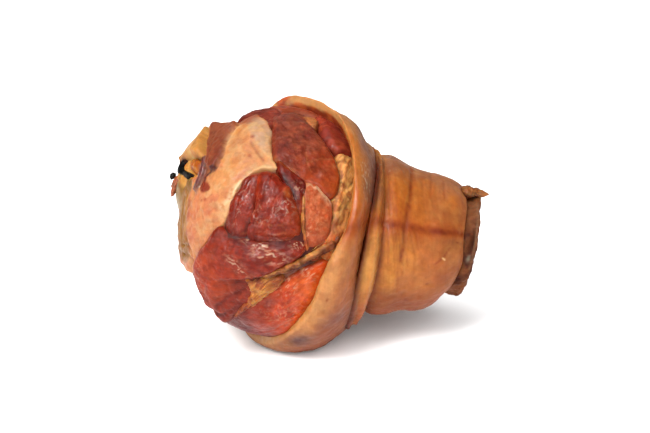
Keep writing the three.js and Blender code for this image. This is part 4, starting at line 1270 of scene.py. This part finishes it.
def bottom_muscle():
    """The bright, wet muscle at the bottom of the cut end."""
    outline = [(69, -1), (58, -6), (49, -11), (44, -15), (36, -25), (27, -34), (18, -40), (4, -50),
               (-3, -57), (0, -65), (14, -73), (24, -81), (38, -70), (51, -53), (60, -38), (66, -25),
               (69, -15), (72, -6)]
    crevice = [(70, 0), (62, -4), (53, -9), (46, -15), (40, -21)]

    def paint(pq, points, tint):
        shine = glints(pq, 286, 0.9, 0.9, 0.3) * raised(pq, [(1, (46, -22), (5, 7)), (1, (57, -13), (5, 5))])
        shine += 0.6 * glints(pq, 287, 0.8, 0.8) * spot(pq, (44, -44), (12, 10))
        tint = coats(tint, [
            ("c45a34", 0.8 * smooth(-pq[..., 0] + 6 * noise(points, 7, 284), -52, -40)),
            ("8c3628", smooth(-pq[..., 0] + 5 * noise(points, 6, 283), -40, -20)),
            ("7c3832", 0.8, (10, -54), (11, 6), 30),
            # painted shade under the edge of the fibres
            ("7c2c1e", 0.7, (36, -34), (8, 3), 50),
            ("b04a2c", 0.6 * patchy(points, 4, 282, 0.1, 0.7)),
            ("e08c5c", 0.5, (58, -26), (4, 12), 20),
            # painted shade in the crevice under the lip
            ("42120a", 0.9, crevice, 1.7),
        ], pq)
        # painted shade: darker and less glossy along the lower left edge
        border = stroke(pq, [(2, -46), (11, -54), (15, -62), (20, -72), (34, -78)], 7)
        # painted highlight: pale glints
        tint = mix(tint * (1 - border[..., None] * np.array([0.25, 0.55, 0.6])), PAINTED_WET_HIGHLIGHT, 0.6 * shine)
        return tint, 0.5 + 0.3 * shine + 0.2 * noise(points, 5, 285) - 0.4 * border

    def relief(pq, points):
        return 0.1 * layered(points, 2.6, 288, 3) + raised(pq, [
            (-1.2, (46, -40), (15, 11), -50), (0.6, (30, -52), (8, 6)), (-3.0, crevice, 2.4),
            (-0.4, [(20, -62), (34, -56), (46, -46)], 1.0), (-0.4, [(28, -70), (40, -62), (50, -52)], 1.0),
        ])

    return pad("bottom_muscle", (40, -44), outline, 4.8, wet_muscle, 50, paint, relief, rough=0.6, dome=0.2,
               strands=0.08, grooves=0.03, tones=("d8703c", "e0824a", 281, 5), rim=("9a3c20", 0.3),
               tone=(1.02, 0.81, 0.56))


def fat_fibres():
    """A band of yellow fat and torn fibres between the broad muscle and the bottom one."""
    outline = [(25, -19), (34, -18), (42, -15.4), (45, -17), (43, -22), (37, -28), (29, -36), (20, -43),
               (12, -50), (15, -44), (22, -36), (27, -30), (27, -24)]

    def threads(pq):
        bent = pq[..., 0] - pq[..., 1] + 1.6 * noise(lift_out(pq), 4, 295)
        return layered(xyz((pq[..., 0] + pq[..., 1] + 10) / 7, bent / 1.1), 1.0, 292, 3)

    def paint(pq, points, tint):
        fibres = threads(pq)
        tint = coats(tint, [
            ("d0a060", 0.55 * smooth(fibres, 0.0, 0.5)),
            ("7c3c26", 0.45 * smooth(-fibres, 0.1, 0.6)),
            ("d8ac6c", raised(pq, [
                (0.5, [(32, -24), (36, -26), (40, -24)], 1.6), (0.4, [(28, -34), (34, -32)], 1.4),
            ])),
            ("98482e", 0.8 * smooth(-pq[..., 0] + 2 * noise(points, 3, 293), -30, -24)),
            ("853c2c", 0.6 * smooth(-pq[..., 1], 38, 46)),
        ])
        return tint, 0.4 + 0.2 * noise(points, 4, 293)

    def relief(pq, points):
        return 0.4 * threads(pq) + 0.7 * layered(points, 3, 294, 3)

    return pad("fat_fibres", (30, -30), outline, 6.2, sinew, 45, paint, relief, ragged=1.0, strands=0.1,
               corner=3, grooves=0.03, tones=("c08448", "a8623c", 291, 4), rim=("6a2c1a", 0.4))


def dark_clot():
    """The black clot in the recess beside the joint head."""
    outline = [(-35, 28.4), (-38.5, 28.4), (-42, 25), (-40.6, 21), (-34, 20), (-25, 20.8), (-22, 22.6),
               (-28, 23.6), (-35, 24.4), (-37, 26.6)]

    def paint(pq, points, tint):
        tint = mix(tint, "4a2018", 0.7 * smooth(pq[..., 1], 26, 28.4))
        return mix(tint, "3a1c18", 0.5 * smooth(pq[..., 0], -26, -20)), 0.45

    def relief(pq, points):
        return 2.6 * smooth(-pq[..., 0], 31, 38)

    return pad("dark_clot", (-37, 24), outline, 6.2, clot, 20, paint, relief, corner=1.6, around=150,
               rings=50, rough=0.8, tones=("0c0a08", "1c1c16", 401, 3))


def orange_fat():
    """A knob of orange fat above the clot."""
    outline = [(-32, 28.6), (-29, 31), (-22, 31.6), (-17, 30), (-17.5, 26), (-22, 24.5), (-29, 25.6)]

    def paint(pq, points, tint):
        # painted highlight: a pale glint
        return mix(tint, "e6cca4", 0.8 * stroke(pq, [(-30.6, 26), (-30.8, 30)], 0.6)), 0.5

    return pad("orange_fat", (-23, 28.5), outline, 6.2, sinew, 70, paint, corner=2.4, dome=0.3, around=150,
               rings=50, tones=("c0812f", "b0692a", 405, 3), rim=("6e3420", 0.7))


# ---- joint head, bone and hock end --------------------------------------------------------------


def saw_slant(near, up):
    """How far the slanted saw cut is from SAWN_END_X, along the shank."""
    return (near * SAWN_SLANT[0] + up * SAWN_SLANT[1]) / SAWN_RADIUS


def shank_bone():
    """The joint head at the cut end, and the shaft down to the saw cut."""
    head, length, radius, head_height = -53.0, 26.8, 27.0, 80.5
    around, face_rings = 180, 14
    turn = np.linspace(0, np.pi * 0.8, 90)
    profile = np.stack([head - length * np.cos(turn), radius * np.sin(turn)], -1)
    shaft = np.array([[head + 23, 15.5], [head + 38, 12], [20, 10.5], [60, 11], [SAWN_END_X, 12]])
    face = np.stack([np.full(face_rings, SAWN_END_X + 0.1), np.linspace(12, 0, face_rings)], -1)
    line = np.concatenate([profile, catmull(shaft, [14, 12, 8, 8]), face])
    angle = full_turn(around)
    x = line[:, :1] * np.ones(around)
    near, up = line[:, 1:] * np.cos(angle), line[:, 1:] * np.sin(angle)
    share = smooth(x, head, SAWN_END_X)
    axis = head_height + share * (along_shank(AXIS_HEIGHT, SAWN_END_X) - head_height)
    rows = xyz(x + np.where(x > 60, saw_slant(near, up), 0), 3 * (1 - share) - near, axis + up)
    at_head = 1 - smooth(x, head, head + 25)
    lift = at_head * (0.8 * layered(rows, 14, 301, 2) + 0.2 * layered(rows, 4, 305, 2))
    rows = rows + normals(rows) * lift[..., None]
    fatty = smooth(rows[..., 2] + 2 * layered(rows, 6, 313, 2), 87, 91) * at_head
    at_saw = smooth(x, SAWN_END_X - 1, SAWN_END_X)
    marrow = 1 - smooth(np.hypot(near, up) + noise(rows, 3, 309), 4.5, 6.5)
    tint = coats(mix("b08a52", "907a42", patchy(rows, 10, 307, -0.3, 0.6)), [
        ("c08c58", 0.6 * (1 - smooth(rows[..., 2], 70, 82))),
        ("8c6432", 0.6 * smooth(rows[..., 2], 78, 86) * at_head),
        (mix("cf9450", "dcb07a", patchy(rows, 8, 315, -0.2, 0.5, 2)), fatty),
        ("d8c3a0", at_saw),
        ("8a4a34", at_saw * marrow),
    ])
    grain = xyz(x, near, up)
    gloss = 0.45 + 0.2 * noise(rows, 9, 311)
    piece = body("joint_and_bone", rows, tint, gloss, grain, bone_surface)
    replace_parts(piece, "shank_bone")


def hock_stump():
    """Dried meat and sinew that stand out of the rind, down to the saw cut."""
    around = 300
    line = np.array([
        [SAWN_END_X - 24, 18],
        [SAWN_END_X - 20, SAWN_RADIUS - 3.5],
        [SAWN_END_X - 9, SAWN_RADIUS - 0.6],
        [SAWN_END_X - 5, SAWN_RADIUS - 0.6],
        [SAWN_END_X - 1.5, SAWN_RADIUS + 0.2],
        [SAWN_END_X, SAWN_RADIUS - 0.8],
        [SAWN_END_X, SAWN_RADIUS - 6],
        [SAWN_END_X, 12],
        [SAWN_END_X, 4],
    ])
    profile = catmull(line, [6, 20, 16, 16, 14, 14, 20, 6])
    angle = full_turn(around)
    x = profile[:, :1] * np.ones(around)
    lumps = 1 + 0.025 * np.cos(3 * angle + 0.6) + 0.015 * np.cos(5 * angle + 2)
    heel = hump(angle - math.radians(290), 0.42) * smooth(x, SAWN_END_X - 12, SAWN_END_X - 3)
    lumps = lumps + 0.09 * heel
    near = profile[:, 1:] * np.cos(angle) * lumps
    up = profile[:, 1:] * np.sin(angle) * lumps
    rows = xyz(x + saw_slant(near, up), -near, along_shank(AXIS_HEIGHT, x) + up)
    degrees = np.degrees(np.arctan2(up, near))
    side = smooth(np.hypot(near, up), SAWN_RADIUS - 6, SAWN_RADIUS - 2)
    around_mm = np.radians(degrees) * SAWN_RADIUS
    torn = xyz(x / 4.0, around_mm / 6.0)
    wisps = xyz(x / 6.0, around_mm / 1.4, 5)
    place = np.stack([around_mm, x - SAWN_END_X], -1)
    hollow = spot(place, (9, -2.8), (7, 1.5), 4)
    ridge = stroke(place, [(20, -9), (8, -9), (-2, -7)], 1.1)
    lift = side * (0.7 * layered(torn, 1.0, 321, 3) + 0.2 * layered(wisps, 1.0, 323, 2))
    lift += side * 0.4 * layered(rows, 4, 325, 2)
    lift -= 2.4 * np.clip(hollow, 0, 1) - 0.6 * ridge
    lift += (1 - side) * 0.5 * layered(rows, 3, 327, 3)
    rows = rows + normals(rows) * lift[..., None]
    rows[..., 0] = np.minimum(rows[..., 0], SAWN_END_X + saw_slant(near, up) + 0.3)
    rows[..., 0] += 1.6 * spot(place, (8, 0), (16, 8)) + 1.0 * spot(place, (-12, 0), (10, 6))
    tone = layered(torn, 1.0, 331, 3)
    face = 1 - side
    tint = coats(mix("855036", "6a3626", smooth(tone, -0.2, 0.5)), [
        ("8c5a3c", 0.6 * patchy(rows, 4, 335, 0.1, 0.6, 2)),
        ("8c5a3c", 0.7 * smooth(degrees, 40, 75) * side),
        ("965a3c", 0.7 * smooth(-degrees, 10, 40) * side),
        ("5a2820", 0.7 * spot(place, (-10, -5), (6, 3)) * smooth(tone, -0.4, 0.4)),
        # painted shade in the hollow
        ("4a2218", 0.9 * np.clip(hollow, 0, 1)),
        ("a5683a", 0.8 * ridge),
        # a grey-white spot of membrane, with a painted glint
        ("a39a94", 0.8, (1, -3.2), (1.6, 0.9)),
        ("9c7868", 0.5, [(30, -1.5), (10, -1.2), (-4, -1.2)], 1.0),
        (two_tone(rows, "8c4430", "a9573c", 337, 5), face),
        ("c9a070", face * 0.7 * smooth(np.abs(noise(rows, 7, 339)), 0.12, 0.0)),
    ], place)
    tint = tint * (1 + 0.1 * layered(wisps, 1.0, 333, 2) * side)[..., None]
    grain = xyz(x, around_mm)
    return body("hock_stump", rows, tint, 0.3 + 0.2 * tone, grain, dried_meat)


def shred():
    """A torn shred of sinew at the top of the sawn end."""
    rings, around = 60, 48
    along = np.linspace(0, 1, rings)[:, None]
    angle = full_turn(around)
    fat = np.sqrt(np.clip(1 - (2 * along - 1) ** 4, 0, 1)) * (1 - 0.7 * along)
    start = np.array([SAWN_END_X - 6, -3, along_shank(AXIS_HEIGHT, SAWN_END_X) + SAWN_RADIUS + 3.0])
    rows = xyz(along * 15, 6 * fat * np.cos(angle), 3.4 * fat * np.sin(angle) - 2.4 * along) + start
    rows = rows + normals(rows) * (0.9 * layered(rows, 3, 341, 3) * np.sin(np.pi * along))[..., None]
    tint = two_tone(rows, "98623a", "7e4a30", 343, 3)
    tint = mix(tint, "bd7c4e", smooth(along, 0.6, 0.95) * np.ones(around))
    return body("shred_of_sinew", rows, tint, 0.4, rows - start, sinew)


def blob(name, centre, size, seed, tones, material, stretch=(1.0, 1.0), sink=0.35, turn=0.0):
    """A small uneven lump on the meat: a clot, a bead or a flap."""
    rings, around = 40, 56
    lat = np.linspace(0, np.pi, rings)[:, None]
    lon = full_turn(around)
    centre = np.array(centre)
    out = (centre - MEAT_CENTRE) / np.linalg.norm(centre - MEAT_CENTRE)
    right = np.cross(FACE_UP, out)
    right = right / np.linalg.norm(right)
    up = np.cross(out, right)
    right, up = right * math.cos(turn) + up * math.sin(turn), up * math.cos(turn) - right * math.sin(turn)
    wide, tall = np.sin(lat) * np.cos(lon) * stretch[0], np.sin(lat) * np.sin(lon) * stretch[1]
    ball = xyz(wide, tall, 0.75 * np.cos(lat)) @ np.array([right, up, out])
    wobble = 1 + 0.3 * layered(ball * 10 + seed, 7, seed, 3)
    rows = centre - out * size * sink + ball * size * wobble[..., None]
    tint = two_tone(rows, *tones, seed, 3)
    return body(name, rows, tint, 0.8, rows - centre, material)


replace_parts(rind(), "meat_and_rind")
for make in (meat_bed, upper_muscle, seam_muscle, fat_triangle, collar_muscle, rear_muscle, narrow_muscle,
             round_muscle, pale_sinew, salmon_cut, fat_band, broad_muscle, torn_lip, bottom_muscle,
             fat_fibres, dark_clot, orange_fat, shank_bone, hock_stump, shred):
    make()
blob("dark_bead", (-81.3, 5.2, 89.6), 1.8, 407, ("0e0c0a", "1c1612"), clot, sink=0.1)
blob("reddish_flap", (-79.9, 3.6, 85.4), 3.0, 409, ("b56c48", "96543a"), sinew, (0.8, 1.6), sink=0.1)

# ---- camera, light and floor --------------------------------------------------------------------

VIEW_TURN = math.radians(4)
VIEW_DROP = math.radians(20)
VIEW_DISTANCE = 900.0
FOCUS = np.array([0.0, 0.0, 62.0])
SENSOR = 36.0
LENS = 95.85
OFF_CENTRE = (3.12, -4.94)
LIGHTS_AIM = Vector((-0.01, 0, 0.06))
FLOOR_HALF = 6

scene = bpy.context.scene
right = np.array([math.cos(VIEW_TURN), -math.sin(VIEW_TURN), 0.0])
level = np.array([math.sin(VIEW_TURN), math.cos(VIEW_TURN), 0.0])
forward = level * math.cos(VIEW_DROP) - np.array([0, 0, math.sin(VIEW_DROP)])
above = level * math.sin(VIEW_DROP) + np.array([0, 0, math.cos(VIEW_DROP)])
eye = (FOCUS + SHIFT - forward * VIEW_DISTANCE - right * OFF_CENTRE[0] - above * OFF_CENTRE[1]) * MM
camera = bpy.data.objects.new("camera", bpy.data.cameras.new("camera"))
scene.collection.objects.link(camera)
camera.data.sensor_width = SENSOR
camera.data.lens = LENS
camera.data.clip_end = 20
camera.matrix_world = Matrix([[right[k], above[k], -forward[k], eye[k]] for k in range(3)] + [[0, 0, 0, 1]])
scene.camera = camera


def soft_light(name, turn, rise, distance, size, power, tint=(1, 1, 1)):
    """A square light that is aimed at the knuckle, turned from -Y and risen from level in degrees."""
    turn, rise = math.radians(turn), math.radians(rise)
    out = Vector((math.sin(turn) * math.cos(rise), -math.cos(turn) * math.cos(rise), math.sin(rise)))
    light = bpy.data.lights.new(name, "AREA")
    light.shape = "SQUARE"
    light.size = size
    light.energy = power
    light.color = tint
    lamp = bpy.data.objects.new(name, light)
    lamp.location = LIGHTS_AIM + out * distance
    lamp.rotation_mode = "QUATERNION"
    lamp.rotation_quaternion = out.to_track_quat("Z", "Y")
    scene.collection.objects.link(lamp)


soft_light("key_light", -32, 46, 2.5, 0.9, 96)
soft_light("fill_light", 14, 38, 2.6, 1.7, 56)
soft_light("low_light", -44, 16, 2.6, 1.4, 38)
soft_light("top_light", -60, 80, 2.3, 1.4, 40)
world = bpy.data.worlds.new("white_room")
scene.world = world
world.use_nodes = True
for key, value in (("Color", (1, 1, 1, 1)), ("Strength", 0.3)):
    world.node_tree.nodes["Background"].inputs[key].default_value = value

floor_mesh = bpy.data.meshes.new("floor")
floor_corners = [(a * FLOOR_HALF, b * FLOOR_HALF, 0) for a, b in ((-1, -1), (1, -1), (1, 1), (-1, 1))]
floor_mesh.from_pydata(floor_corners, [], [(0, 1, 2, 3)])
floor = bpy.data.objects.new("floor", floor_mesh)
scene.collection.objects.link(floor)
white = bpy.data.materials.new("white_table")
white.use_nodes = True
for key, value in (("Base Color", (0.95, 0.95, 0.95, 1)), ("Roughness", 0.9), ("Specular IOR Level", 0.0)):
    white.node_tree.nodes["Principled BSDF"].inputs[key].default_value = value
floor_mesh.materials.append(white)
scene.view_settings.view_transform = "Standard"
